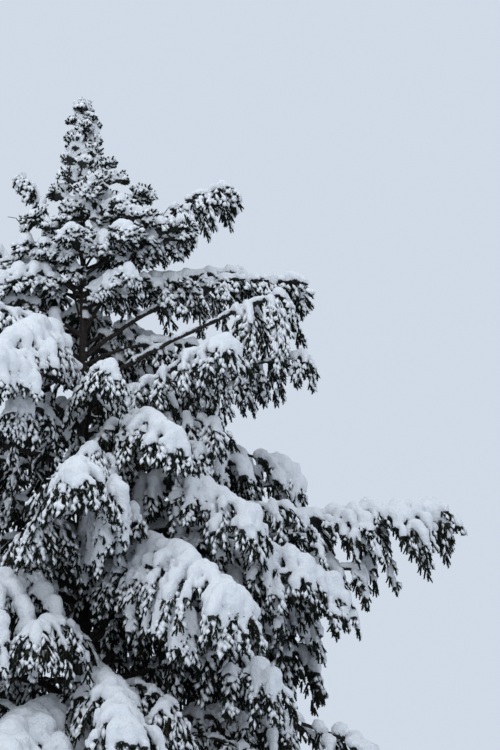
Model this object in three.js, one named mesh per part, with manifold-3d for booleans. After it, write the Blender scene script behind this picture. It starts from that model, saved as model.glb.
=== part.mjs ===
// A tall Norway spruce standing in heavy snow: one trunk, its main boughs, and the masses of hanging
// sprays that the boughs carry, each with the bank of snow that lies along it.
// Millimetres, +Z up, the origin on the ground at the middle of the trunk's foot. The tree is faced along
// +Y, with +X to the right. Azimuths are in degrees and turn from +X towards +Y, so -90 points forwards.
import * as THREE from "three";
import { mergeVertices } from "three/addons/utils/BufferGeometryUtils.js";
import Module from "manifold-3d";

const wasm = await Module();
wasm.setup();

// The whole tree
const HEIGHT = 16000;
const CLEARANCE = 0.35; // between pieces that meet
const MERGE_DISTANCE = 1e-4; // vertices nearer than this are one
const LOWEST_SPRAY = 150; // no spray hangs nearer to the ground than this

// Trunk
const BUTT_RADIUS = 215; // what the taper would give at the ground, without the root flare
const TIP_RADIUS = 5;
const TAPER_POWER = 0.95;
const FLARE_SHARE = 0.55; // how much wider the foot is than the taper
const FLARE_HEIGHT = 350;
const ROOT_LOBES = 5;
const LOBE_SHARE = 0.22;
const LEAN_AT_TIP = 260; // the trunk sweeps this far to the left by its tip
const SWAY = 60; // and bends this far back at half its height
const TRUNK_RINGS = 30;
const RING_SPREAD = 1.5; // above 1, the rings stand closer together in the flare

// Limbs and stems
const LIMB_THICKNESS = 0.016; // root radius for each millimetre of reach
const LIMB_EXTRA = 4; // added to every root radius
const LIMB_TAPER = 0.8; // share of the root radius that is lost by the tip
const LIMB_MIN_RADIUS = 9;
const LIMB_OF_TRUNK = 0.62; // a limb is never thicker than this share of the trunk there
const LIMB_SIDES = 5;
const LIMB_STEP = 450; // length of one straight piece
const FEWEST_LIMB_STEPS = 2;
const LIMB_ROOT = 0.004; // a limb starts this share of its reach from the trunk's axis
const CURL = 10; // degrees, the most that two boughs may differ in how they bend sideways

// A mass of foliage, as wide and as deep as its bough's reach asks
const HALF_WIDTH = { share: 0.21, extra: 60, most: 930 };
const DROP = { share: 0.24, extra: 260, most: 1050 };
const FIRST_TWIG = 0.3; // share of a bough that is clear of twigs where no bare limb shows
const FEWEST_TWIGS = 3;

// Side twigs
const TWIG_STEP = 490; // along the stem, left and right in turn
const TWIG_PHASE = 0.6; // place of a twig within its step
const LAST_TWIG = 0.97; // share of the bough where the side twigs end
const TWIG_ANGLE = 62; // degrees between a side twig and the stem
const TWIG_CLOSING = 0.35; // share of that angle lost by the tip of the bough
const TWIG_DROOP = 0.42; // how far a twig sinks for each unit of its length
const TWIG_RADIUS = 14;
const TWIG_LENGTH = { first: 1.15, last: 0.5 }; // of the half width, at the mass's root and tip
const TWIG_VARIETY = 0.3; // how far twigs may differ in length
const TWIG_MARGIN = 1.2; // a twig is tested for clashes this much thicker than it is

// Sprays
const SPRAY_TEETH = 8; // points of the toothed outline
const SPRAY_WIDTH = 0.52; // half width for each unit of length
const SPRAY_THICKNESS = 0.05;
const SPRAY_SINK = 0.12; // share of its length that a spray's root lies above its twig
const SPRAY_LEAN = { least: 0.25, more: 0.3 }; // outwards, for each unit of drop
const SPRAY_VARIETY = 0.4; // how far sprays may differ in length
const TIP_SPRAY = { place: 0.985, size: 0.55 }; // the one that ends a bough
const SPRAY_PLACE = 0.66; // share of the twig's length where its spray hangs
const SPRAY_TURN = 100; // degrees, how far sprays may be turned from one another
const TOOTH = { out: 1.3, back: 0.2, notch: 0.6 };

// Snow
const SNOW_WIDTH = { first: 0.56, last: 0.36 }; // of the mass's half width, at its root and tip
const SNOW_DEPTH = 0.42; // height above the stem for each unit of the bank's half width
const SNOW_SKIN = 0.06; // and the depth below it
const SNOW_UNDER_STEM = 1.35; // the bank closes below the stem at this many of its radii
const SNOW_LOBE = 0.3;
const SNOW_SIDES = 6;
const SNOW_STEP = 520;
const SNOW_SPAN = { from: 0.02, to: 0.99 }; // from is a share of the mass, to of the whole bough
const FEWEST_SNOW_STEPS = 4;
const SNOW_END = 0.02; // share of a bank's width that is left at its ends
const TEST_MARGIN = 1.03; // a piece is tested for clashes this much larger than it is

// The boughs that stand out: in millimetres the height of the root, the reach from the trunk's axis, the
// height of the tip and how far the middle arches above the line between root and tip. bare is the share
// of the bough that is a bare limb; where it is 0 the mass's stem starts at the trunk.
const SHOWN_BOUGHS = [
  { name: "left_leader", azimuth: 176, root: 12620, reach: 880, tip: 14920, arch: 380, bare: 0.42 },
  { name: "right_top", azimuth: 2, root: 12600, reach: 1840, tip: 14660, arch: 500, bare: 0.42 },
  { name: "right_spur", azimuth: 14, root: 13970, reach: 800, tip: 14660, arch: 60, bare: 0 },
  { name: "left_spur", azimuth: 214, root: 13650, reach: 750, tip: 14050, arch: 160, bare: 0 },
  { name: "right_upper", azimuth: 7, root: 12280, reach: 2720, tip: 13420, arch: 390, bare: 0.34 },
  { name: "right_limb", azimuth: -11, root: 11820, reach: 2600, tip: 12930, arch: 120, bare: 0.7 },
  { name: "left_upper", azimuth: 183, root: 12150, reach: 2500, tip: 13000, arch: 380, bare: 0.35 },
  { name: "fore_right_high", azimuth: -42, root: 10980, reach: 2550, tip: 11820, arch: 250, bare: 0.3 },
  { name: "fore_left_high", azimuth: -107, root: 11950, reach: 2800, tip: 11200, arch: 520, bare: 0.3 },
  { name: "fore_right_upper", azimuth: -61, root: 10750, reach: 2600, tip: 10420, arch: 420, bare: 0.3 },
  { name: "left_middle", azimuth: 192, root: 10800, reach: 3400, tip: 10650, arch: 320, bare: 0.36 },
  { name: "right_shoulder", azimuth: 11, root: 10350, reach: 2720, tip: 10860, arch: 520, bare: 0.34 },
  { name: "fore_middle", azimuth: -87, root: 9650, reach: 3100, tip: 9760, arch: 360, bare: 0.3 },
  { name: "left_long", azimuth: 168, root: 9650, reach: 4100, tip: 9500, arch: 330, bare: 0.42 },
  { name: "right_long", azimuth: 1, root: 9500, reach: 4420, tip: 10300, arch: 140, bare: 0.46 },
  { name: "fore_right", azimuth: -58, root: 9330, reach: 3600, tip: 8250, arch: 480, bare: 0.32 },
  { name: "fore_left", azimuth: -112, root: 8950, reach: 3350, tip: 7950, arch: 420, bare: 0.3 },
  { name: "right_lower", azimuth: -14, root: 8800, reach: 3250, tip: 9050, arch: 400, bare: 0.34 },
  { name: "right_skirt", azimuth: 9, root: 8250, reach: 2850, tip: 8450, arch: 420, bare: 0.32 },
  { name: "fore_bottom", azimuth: -79, root: 7850, reach: 3450, tip: 6750, arch: 420, bare: 0.3 },
  { name: "right_bottom", azimuth: -17, root: 7250, reach: 3600, tip: 7020, arch: 420, bare: 0.34 },
  { name: "back_right_high", azimuth: 57, root: 11950, reach: 2450, tip: 12250, arch: 380, bare: 0 },
  { name: "back_left_high", azimuth: 118, root: 11550, reach: 2700, tip: 11500, arch: 420, bare: 0 },
  { name: "back_middle", azimuth: 84, root: 10150, reach: 3250, tip: 9950, arch: 420, bare: 0 },
  { name: "back_right", azimuth: 47, root: 8560, reach: 3550, tip: 8400, arch: 400, bare: 0 },
  { name: "back_left", azimuth: 130, root: 8500, reach: 3600, tip: 8050, arch: 400, bare: 0 },
];

// The lower crown carries on in a spiral of like boughs down to a clear foot: they grow longer and sink
// deeper on the way down, and the last few show a bare limb.
const LOWER = {
  count: 9,
  root: { top: 6500, bottom: 2500 },
  reach: { top: 3700, bottom: 4150 },
  sink: { top: 500, bottom: 900 },
  arch: 420,
  azimuth: 150,
  turn: 137.5,
  limbs: 3,
  bare: 0.34,
};

// The spire round the trunk's tip
const SPIRE = { count: 2, root: 14400, tip: 15550, lower: 330, reach: 210, arch: 60, azimuth: 20 };

const SEED = { first: 97, step: 31 }; // each bough has its own

const BARK = new THREE.MeshStandardMaterial({ color: 0x3a2c24, roughness: 0.95, metalness: 0 });
const SNOWY_NEEDLES = new THREE.MeshStandardMaterial({ color: 0x7f8c8c, roughness: 0.9, metalness: 0 });

const UP = new THREE.Vector3(0, 0, 1);
const DOWN = new THREE.Vector3(0, 0, -1);
const radians = THREE.MathUtils.degToRad;
const lerp = THREE.MathUtils.lerp;

// A small seeded generator, so that every run grows the same tree
function seeded(seed) {
  let state = seed >>> 0;
  return () => {
    state = (Math.imul(state, 1664525) + 1013904223) >>> 0;
    return state / 4294967296;
  };
}

function varied(random, spread) {
  return 1 + spread * (random() - 0.5);
}

// Trunk
function trunkCentre(z) {
  const share = z / HEIGHT;
  return new THREE.Vector3(-LEAN_AT_TIP * share * share, SWAY * Math.sin(Math.PI * share), z);
}

function trunkRadius(z) {
  return Math.max(TIP_RADIUS, BUTT_RADIUS * Math.pow(Math.max(0, 1 - z / HEIGHT), TAPER_POWER));
}

function trunkSurface(z, angle) {
  const flare = 1 + FLARE_SHARE * Math.exp(-z / FLARE_HEIGHT);
  const lobes = 1 + LOBE_SHARE * Math.exp(-z / FLARE_HEIGHT) * Math.cos(ROOT_LOBES * angle);
  return trunkRadius(z) * flare * lobes;
}

// A cylinder's geometry whose every vertex is moved by place(t, angle, radial): t runs from 0 to 1 along
// it, radial is 1 on its wall and 0 in the middle of its end faces.
function bentCylinder(sides, steps, place) {
  const geometry = new THREE.CylinderGeometry(1, 1, 1, sides, steps);
  const position = geometry.getAttribute("position");
  const point = new THREE.Vector3();
  for (let i = 0; i < position.count; i++) {
    point.fromBufferAttribute(position, i);
    const moved = place(point.y + 0.5, Math.atan2(point.z, point.x), Math.hypot(point.x, point.z));
    position.setXYZ(i, moved.x, moved.y, moved.z);
  }
  return geometry;
}

function trunkGeometry(extra) {
  return bentCylinder(2 * ROOT_LOBES, TRUNK_RINGS, (t, angle, radial) => {
    const z = HEIGHT * Math.pow(t, RING_SPREAD);
    const radius = (trunkSurface(z, -angle) + extra) * radial;
    const out = new THREE.Vector3(Math.cos(-angle), Math.sin(-angle), 0);
    return trunkCentre(z).addScaledVector(out, radius);
  });
}

// Solids: closed meshes that can be joined and cut
function solidOf(geometry) {
  const bare = geometry.clone();
  bare.deleteAttribute("normal");
  bare.deleteAttribute("uv");
  const merged = mergeVertices(bare, MERGE_DISTANCE);
  return new wasm.Manifold(
    new wasm.Mesh({
      numProp: 3,
      vertProperties: new Float32Array(merged.getAttribute("position").array),
      triVerts: new Uint32Array(merged.index.array),
    }),
  );
}

function geometryOf(solid) {
  const mesh = solid.getMesh();
  const geometry = new THREE.BufferGeometry();
  geometry.setAttribute("position", new THREE.BufferAttribute(new Float32Array(mesh.vertProperties), 3));
  geometry.setIndex(new THREE.BufferAttribute(new Uint32Array(mesh.triVerts), 1));
  geometry.computeVertexNormals();
  return geometry;
}

// The biggest single body of a solid: sealed hollows are filled and loose scraps are dropped
function wholeBody(solid) {
  return solid.decompose().reduce((best, body) => (body.volume() > best.volume() ? body : best));
}

function boxesMeet(a, b) {
  return [0, 1, 2].every((k) => a.min[k] <= b.max[k] && b.min[k] <= a.max[k]);
}

// Bough curves
function boughPoint(bough, t) {
  const azimuth = radians(bough.azimuth + bough.curl * t * t);
  const point = trunkCentre(bough.root);
  point.x += bough.reach * t * Math.cos(azimuth);
  point.y += bough.reach * t * Math.sin(azimuth);
  point.z = lerp(bough.root, bough.tip, t) + 4 * bough.arch * t * (1 - t);
  return point;
}

function boughFrame(bough, t) {
  const step = 0.01;
  const forward = boughPoint(bough, t + step).sub(boughPoint(bough, t - step)).normalize();
  const side = new THREE.Vector3().crossVectors(forward, UP).normalize();
  const up = new THREE.Vector3().crossVectors(side, forward);
  return { forward, side, up };
}

function limbRadius(bough, t) {
  const asked = LIMB_THICKNESS * bough.reach + LIMB_EXTRA;
  const root = Math.min(asked, LIMB_OF_TRUNK * trunkRadius(bough.root));
  return Math.max(LIMB_MIN_RADIUS, root * (1 - LIMB_TAPER * t));
}

// A tube of the bough's own taper between two shares of its length
function limbSolid(bough, from, to) {
  const steps = Math.max(FEWEST_LIMB_STEPS, Math.round(((to - from) * bough.reach) / LIMB_STEP));
  return solidOf(
    bentCylinder(LIMB_SIDES, steps, (s, angle, radial) => {
      const t = lerp(from, to, s);
      const { side, up } = boughFrame(bough, t);
      const radius = limbRadius(bough, t) * radial;
      return boughPoint(bough, t)
        .addScaledVector(side, radius * Math.cos(angle))
        .addScaledVector(up, radius * Math.sin(angle));
    }),
  );
}

// The bank of snow along a mass's stem: shallow below and crowned above, with lobes where the side twigs
// are. The stem runs inside it.
function snowSolid(bough, margin) {
  const from = lerp(bough.leafy, 1, SNOW_SPAN.from);
  const to = SNOW_SPAN.to;
  const steps = Math.max(FEWEST_SNOW_STEPS, Math.round(((to - from) * bough.reach) / SNOW_STEP));
  return solidOf(
    bentCylinder(SNOW_SIDES, steps, (s, angle, radial) => {
      const t = lerp(from, to, s);
      const { side, up } = boughFrame(bough, t);
      const ends = Math.sqrt(Math.max(SNOW_END, 1 - Math.pow(2 * s - 1, 4)));
      const lobe = 1 + SNOW_LOBE * Math.sin(Math.PI * s * steps + Math.cos(angle));
      const share = lerp(SNOW_WIDTH.first, SNOW_WIDTH.last, s) * ends * lobe;
      const width = bough.halfWidth * share * margin;
      const above = width * SNOW_DEPTH + limbRadius(bough, t);
      const below = width * SNOW_SKIN + limbRadius(bough, t) * SNOW_UNDER_STEM;
      const height = Math.sin(angle) > 0 ? above : below;
      return boughPoint(bough, t)
        .addScaledVector(side, width * Math.cos(angle) * radial)
        .addScaledVector(up, height * Math.sin(angle) * radial);
    }),
  );
}

// A side twig: a three-sided cone from its root to its tip
function twigSolid(root, tip, radius) {
  const length = root.distanceTo(tip);
  const geometry = new THREE.ConeGeometry(radius, length, 3);
  geometry.translate(0, length / 2, 0);
  const along = tip.clone().sub(root).normalize();
  geometry.applyQuaternion(new THREE.Quaternion().setFromUnitVectors(new THREE.Vector3(0, 1, 0), along));
  geometry.translate(root.x, root.y, root.z);
  return solidOf(geometry);
}

// A spray of needles: a toothed blade, thickest in its middle. A sphere of two height segments is a double
// pyramid, and its equator is drawn out into the toothed outline.
function spraySolid(spray, margin) {
  const { root, along, turn } = spray;
  const size = 0.5 * spray.length * margin;
  const geometry = new THREE.SphereGeometry(1, SPRAY_TEETH, 2);
  const position = geometry.getAttribute("position");
  const side = new THREE.Vector3(Math.cos(turn), Math.sin(turn), 0);
  side.addScaledVector(along, -side.dot(along)).normalize();
  const face = new THREE.Vector3().crossVectors(along, side);
  const middle = root.clone().addScaledVector(along, spray.length * (0.5 - SPRAY_SINK));
  for (let i = 0; i < position.count; i++) {
    const x = position.getX(i);
    const y = position.getY(i);
    const z = position.getZ(i);
    const onEquator = Math.abs(y) < 0.5;
    const index = Math.round((Math.atan2(z, x) / (2 * Math.PI)) * SPRAY_TEETH);
    const tooth = Math.abs(index % 2) === 1;
    const lengthwise = onEquator ? -x + (tooth ? TOOTH.back : 0) : 0;
    const widthwise = onEquator ? z * (tooth ? TOOTH.out : TOOTH.notch) : 0;
    const facewise = onEquator ? 0 : y;
    const moved = middle
      .clone()
      .addScaledVector(along, lengthwise * size)
      .addScaledVector(side, widthwise * SPRAY_WIDTH * size)
      .addScaledVector(face, facewise * SPRAY_THICKNESS * size);
    position.setXYZ(i, moved.x, moved.y, moved.z);
  }
  return solidOf(geometry);
}

// Every obstacle is a solid with its box, and the name of the node that it belongs to.
const obstacles = [];
function addObstacle(node, solid) {
  obstacles.push({ node, solid, box: solid.boundingBox() });
}

function clashes(node, candidate) {
  const box = candidate.boundingBox();
  return obstacles.some(
    (o) => o.node !== node && boxesMeet(o.box, box) && o.solid.intersect(candidate).volume() > 0,
  );
}

// The twigs and sprays of one mass: side twigs left and right in turn, a spray that hangs from each, and
// one more at the tip. What would leave the mass's own space or touch another piece is skipped.
function growMass(bough, node) {
  let mass = bough.core;
  const random = bough.random;
  const join = (piece, tested) => {
    const fits = !clashes(node, tested);
    if (fits) mass = mass.add(piece);
    return fits;
  };
  const hang = (root, outward, share) => {
    const lean = SPRAY_LEAN.least + SPRAY_LEAN.more * random();
    const along = DOWN.clone().addScaledVector(outward, lean).normalize();
    const length = bough.drop * varied(random, SPRAY_VARIETY) * share;
    const turn = Math.atan2(outward.y, outward.x) + radians(SPRAY_TURN) * (random() - 0.5);
    const spray = { root, along, length, turn };
    const lowest = root.z + along.z * length;
    if (lowest > LOWEST_SPRAY) join(spraySolid(spray, 1), spraySolid(spray, TEST_MARGIN));
  };
  const count = Math.max(FEWEST_TWIGS, Math.round((bough.reach * (1 - bough.leafy)) / TWIG_STEP));
  for (let k = 0; k < count; k++) {
    const s = (k + TWIG_PHASE) / count;
    const t = lerp(bough.leafy, LAST_TWIG, s);
    const { forward, side } = boughFrame(bough, t);
    const hand = k % 2 ? 1 : -1;
    const angle = radians(TWIG_ANGLE * (1 - TWIG_CLOSING * s));
    const out = forward.multiplyScalar(Math.cos(angle)).addScaledVector(side, hand * Math.sin(angle));
    const share = lerp(TWIG_LENGTH.first, TWIG_LENGTH.last, s);
    const length = bough.halfWidth * share * varied(random, TWIG_VARIETY);
    const root = boughPoint(bough, t);
    const tip = root.clone().addScaledVector(out, length);
    tip.z -= TWIG_DROOP * length;
    if (join(twigSolid(root, tip, TWIG_RADIUS), twigSolid(root, tip, TWIG_RADIUS * TWIG_MARGIN)))
      hang(root.clone().lerp(tip, SPRAY_PLACE), out, 1);
  }
  const end = TIP_SPRAY.place;
  hang(boughPoint(bough, end), boughFrame(bough, end).forward, TIP_SPRAY.size);
  return wholeBody(mass);
}

// The whole tree
function lowerBoughs() {
  return Array.from({ length: LOWER.count }, (_, k) => {
    const down = k / (LOWER.count - 1);
    const root = lerp(LOWER.root.top, LOWER.root.bottom, down);
    return {
      name: "lower_" + (k + 1),
      azimuth: LOWER.azimuth + LOWER.turn * k,
      root,
      reach: lerp(LOWER.reach.top, LOWER.reach.bottom, down),
      tip: root - lerp(LOWER.sink.top, LOWER.sink.bottom, down),
      arch: LOWER.arch,
      bare: k < LOWER.count - LOWER.limbs ? 0 : LOWER.bare,
    };
  });
}

function spireBoughs() {
  return Array.from({ length: SPIRE.count }, (_, k) => ({
    name: "spire_" + (k + 1),
    azimuth: SPIRE.azimuth + (360 / SPIRE.count) * k,
    root: SPIRE.root - SPIRE.lower * k,
    reach: SPIRE.reach,
    tip: SPIRE.tip - SPIRE.lower * k,
    arch: SPIRE.arch,
    bare: 0,
  }));
}

function sizedBy(rule, reach) {
  return Math.min(rule.most, rule.share * reach + rule.extra);
}

function sized(bough, index) {
  const random = seeded(SEED.first + SEED.step * index);
  return {
    ...bough,
    random,
    curl: CURL * (random() - 0.5),
    leafy: bough.bare || FIRST_TWIG,
    halfWidth: sizedBy(HALF_WIDTH, bough.reach),
    drop: sizedBy(DROP, bough.reach),
  };
}

const boughs = [...spireBoughs(), ...SHOWN_BOUGHS, ...lowerBoughs()].map(sized);

const tree = new THREE.Group();
function addNode(name, solid, material) {
  const mesh = new THREE.Mesh(geometryOf(solid), material);
  mesh.name = name;
  tree.add(mesh);
}

const trunkRoom = solidOf(trunkGeometry(CLEARANCE));
addNode("trunk", solidOf(trunkGeometry(0)), BARK);
addObstacle("trunk", trunkRoom);

// Limbs and stems come first, then the banks of snow, then twigs and sprays in the room that is left.
for (const bough of boughs) {
  if (bough.bare > 0) {
    const limb = wholeBody(limbSolid(bough, LIMB_ROOT, bough.bare).subtract(trunkRoom));
    addNode(bough.name + "_bough", limb, BARK);
    addObstacle(bough.name + "_bough", limb);
    bough.core = limbSolid(bough, bough.bare + CLEARANCE / bough.reach, 1);
  } else {
    bough.core = wholeBody(limbSolid(bough, LIMB_ROOT, 1).subtract(trunkRoom));
  }
  addObstacle(bough.name + "_foliage", bough.core);
}
for (const bough of boughs) {
  const node = bough.name + "_foliage";
  if (!clashes(node, snowSolid(bough, TEST_MARGIN))) bough.core = bough.core.add(snowSolid(bough, 1));
  addObstacle(node, bough.core);
}
for (const bough of boughs) {
  const node = bough.name + "_foliage";
  const mass = growMass(bough, node);
  addNode(node, mass, SNOWY_NEEDLES);
  addObstacle(node, mass);
}

export default tree;
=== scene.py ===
# %% [markdown]
# # A Norway spruce under heavy snow
#
# A spruce in winter is four things in layers: dark limbs that arch out of one trunk, twigs that leave
# each limb left and right, needle-clad shoots that hang from the twigs like a curtain, and snow that
# lies on all of it. This lesson grows them in that order, each kind joined into a few meshes, round a
# model of the tree that already fixes where the trunk and the main boughs stand.

# %% Load the frame
import math

import bmesh
import bpy
import numpy as np
from mathutils import Matrix, Vector, noise


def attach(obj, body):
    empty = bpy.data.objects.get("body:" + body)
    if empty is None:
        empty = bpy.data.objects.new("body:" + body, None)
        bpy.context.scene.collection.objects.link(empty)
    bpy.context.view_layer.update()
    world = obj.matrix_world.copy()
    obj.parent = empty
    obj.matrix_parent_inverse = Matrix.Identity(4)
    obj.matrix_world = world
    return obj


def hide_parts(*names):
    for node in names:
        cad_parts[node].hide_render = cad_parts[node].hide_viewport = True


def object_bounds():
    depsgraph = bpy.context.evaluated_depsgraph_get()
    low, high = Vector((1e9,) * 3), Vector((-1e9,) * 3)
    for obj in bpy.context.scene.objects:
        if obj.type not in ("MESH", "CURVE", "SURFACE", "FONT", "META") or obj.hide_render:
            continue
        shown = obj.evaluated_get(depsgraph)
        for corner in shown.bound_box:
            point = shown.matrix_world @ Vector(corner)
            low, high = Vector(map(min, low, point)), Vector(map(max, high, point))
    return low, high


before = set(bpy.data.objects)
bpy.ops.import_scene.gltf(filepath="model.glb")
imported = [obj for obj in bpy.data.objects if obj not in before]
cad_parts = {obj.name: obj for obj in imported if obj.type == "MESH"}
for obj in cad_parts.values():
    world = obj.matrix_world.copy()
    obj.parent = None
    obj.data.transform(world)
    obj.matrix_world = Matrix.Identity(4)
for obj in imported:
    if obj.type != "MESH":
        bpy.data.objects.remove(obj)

CAD_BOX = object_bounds()
print("the tree's box", [round(c, 2) for corner in CAD_BOX for c in corner])

# %% [markdown]
# ## The tree's own measures
#
# The trunk and the boughs follow a few formulas, and the looks follow the same ones, so that bark and
# snow land where the solid tree has its limbs. Lengths are in metres here, and angles in degrees. A
# bough leaves the trunk at the height `root`, towards its azimuth, which is 0 on the right and -90 at the
# camera. It reaches out, ends at the height `tip`, and arches above the line between the two. `bare` is
# the share of it that shows as a bare limb, and `load` is how heavily snow lies, where it isn't worked out.

# %% Driving dimensions
HEIGHT = CAD_BOX[1].z
BUTT_RADIUS = 0.215
TIP_RADIUS = 0.005
TAPER_POWER = 0.95  # 1 would be a straight cone
FLARE_SHARE = 0.55  # how much wider the foot is
FLARE_HEIGHT = 0.35
ROOT_LOBES = 5
LOBE_SHARE = 0.22
LEAN_AT_TIP = 0.26
SWAY = 0.06
# a limb's radius at its root, for each metre of its reach, and what is added to that
LIMB_THICKNESS = 0.016
LIMB_EXTRA = 0.004
LIMB_TAPER = 0.8  # the share of it that is gone at the tip
LIMB_MIN_RADIUS = 0.009
LIMB_OF_TRUNK = 0.62  # the most that it may have of the trunk's radius
FIRST_TWIG = 0.3  # where twigs start on a bough without a bare limb
CURL = 10.0  # how far apart, in degrees, the tips may be turned sideways
print("the tree is", round(HEIGHT, 2), "m tall")

# %% The boughs that stand out
SHOWN_BOUGHS = [
    ("left_leader", dict(azimuth=176, root=12.62, reach=0.88, tip=14.92, arch=0.38, bare=0.42)),
    ("right_top", dict(azimuth=2, root=12.6, reach=1.84, tip=14.66, arch=0.5, bare=0.42, load=0.98)),
    ("right_spur", dict(azimuth=14, root=13.97, reach=0.8, tip=14.66, arch=0.06)),
    ("left_spur", dict(azimuth=214, root=13.65, reach=0.75, tip=14.05, arch=0.16)),
    ("right_upper", dict(azimuth=7, root=12.28, reach=2.72, tip=13.42, arch=0.39, bare=0.34)),
    ("right_limb", dict(azimuth=-11, root=11.82, reach=2.6, tip=12.93, arch=0.12, bare=0.7, load=0.95)),
    ("left_upper", dict(azimuth=183, root=12.15, reach=2.5, tip=13.0, arch=0.38, bare=0.35, load=1.5)),
    ("fore_right_high", dict(azimuth=-42, root=10.98, reach=2.55, tip=11.82, arch=0.25, bare=0.3, load=1.15)),
    ("fore_left_high", dict(azimuth=-107, root=11.95, reach=2.8, tip=11.2, arch=0.52, bare=0.3, load=1.5)),
    ("fore_right_upper", dict(azimuth=-61, root=10.75, reach=2.6, tip=10.42, arch=0.42, bare=0.3, load=1.3)),
    ("left_middle", dict(azimuth=192, root=10.8, reach=3.4, tip=10.65, arch=0.32, bare=0.36)),
    ("right_shoulder", dict(azimuth=11, root=10.35, reach=2.72, tip=10.86, arch=0.52, bare=0.34, load=1.3)),
    ("fore_middle", dict(azimuth=-87, root=9.65, reach=3.1, tip=9.76, arch=0.36, bare=0.3, load=1.15)),
    ("left_long", dict(azimuth=168, root=9.65, reach=4.1, tip=9.5, arch=0.33, bare=0.42)),
    ("right_long", dict(azimuth=1, root=9.5, reach=4.42, tip=10.3, arch=0.14, bare=0.46, load=1.22)),
    ("fore_right", dict(azimuth=-58, root=9.33, reach=3.6, tip=8.25, arch=0.48, bare=0.32)),
    ("fore_left", dict(azimuth=-112, root=8.95, reach=3.35, tip=7.95, arch=0.42, bare=0.3, load=1.55)),
    ("right_lower", dict(azimuth=-14, root=8.8, reach=3.2, tip=9.05, arch=0.4, bare=0.34, load=1.32)),
    ("right_skirt", dict(azimuth=9, root=8.25, reach=2.85, tip=8.45, arch=0.42, bare=0.32, load=1.35)),
    ("fore_bottom", dict(azimuth=-79, root=7.85, reach=3.45, tip=6.75, arch=0.42, bare=0.3, load=1.2)),
    ("right_bottom", dict(azimuth=-17, root=7.25, reach=3.6, tip=7.02, arch=0.42, bare=0.34)),
    ("back_right_high", dict(azimuth=57, root=11.95, reach=2.45, tip=12.25, arch=0.38)),
    ("back_left_high", dict(azimuth=118, root=11.55, reach=2.7, tip=11.5, arch=0.42)),
    ("back_middle", dict(azimuth=84, root=10.15, reach=3.25, tip=9.95, arch=0.42)),
    ("back_right", dict(azimuth=47, root=8.56, reach=3.55, tip=8.4, arch=0.4)),
    ("back_left", dict(azimuth=130, root=8.5, reach=3.6, tip=8.05, arch=0.4)),
]
print(len(SHOWN_BOUGHS), "shown boughs")

# %% The trunk's formulas


def between(low, high, share):
    return low + (high - low) * share


def trunk_centre(z):
    share = np.asarray(z, float) / HEIGHT
    return np.stack([-LEAN_AT_TIP * share**2, SWAY * np.sin(np.pi * share), HEIGHT * share], -1)


def trunk_radius(z):
    taper = np.clip(1 - np.asarray(z, float) / HEIGHT, 0, 1) ** TAPER_POWER
    return np.maximum(TIP_RADIUS, BUTT_RADIUS * taper)


print("trunk radius at breast height", round(float(trunk_radius(1.3)), 3), "m")

# %% [markdown]
# ## A bough
#
# A bough is a curve with a frame that runs along it: forward, to its side, and up. Twigs, shoots and
# snow are all placed in that frame. A small class keeps the numbers and the formulas together. Every
# bough has its own seed, so the tree is the same each time that it grows.

# %% What every bough shares
UP = np.array([0.0, 0.0, 1.0])
# how heavily the snow lies on a bough, by the first word of its name, or else by its height
LOADS = {"fore": 1.35, "right": 1.15, "left": 1.15}
LOAD_AT_HEIGHT = ((6.0, 6.5, 12.0, 13.3, 14.2, 14.7), (1.12, 0.72, 1.15, 1.5, 1.5, 1.0))
# twigs, shoots and snow get smaller towards the tree's tip
SLENDER = ((15.1, 16.0), (1.0, 0.4))
# the snow came with a wind from the front, and high in the crown it sticks to the windward side
WIND = np.array([-0.1, -0.45, 0.0])
WINDY = ((11.0, 13.5), (0.0, 1.0))
# how far a bough's sprays spread to either side, and how far they hang, both by its reach
HALF_WIDTH = dict(share=0.21, extra=0.06, most=0.93)
DROP = dict(share=0.24, extra=0.26, most=1.2)
# boughs whose sprays are wider or narrower than that
WIDTHS = {
    "fore_middle": 1.12,
    "left_leader": 0.5,
    "spire_1": 0.45,
    "right_spur": 0.6,
    "inner_drape_1": 0.6,
    "inner_drape_2": 0.4,
    "inner_right_6": 0.5,
    "inner_right_7": 0.7,
    "inner_right_21": 0.5,
}
# the seeds of the first bough: for how it bends sideways, and for its twigs and its snow
CURL_SEED = 97
CURL_SEED_STEP = 31
GROWTH_SEED = 1000


def by_size(size, share, extra, most=math.inf):
    """A measure that grows with another one, up to a limit."""
    return min(most, share * size + extra)


def unit(v, least=1e-9):
    return v / np.maximum(np.linalg.norm(v, axis=-1, keepdims=True), least)


def slender(height):
    return np.interp(height, *SLENDER)


def windward(places):
    """How far the snow at these places is pushed, for each metre of its thickness."""
    return WIND * np.interp(places[..., 2], *WINDY)[..., None]


def first_draw(seed, multiplier=1664525, increment=1013904223):
    """The first number of the generator that also bends the solid tree's boughs sideways."""
    return ((seed * multiplier + increment) % 2**32) / 2**32


print("a bough of 3 m spreads", round(by_size(3, **HALF_WIDTH), 2), "m to either side")


# %% The bough's curve
TANGENT_STEP = 0.01  # how far before and behind a place the curve's direction is measured


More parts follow.
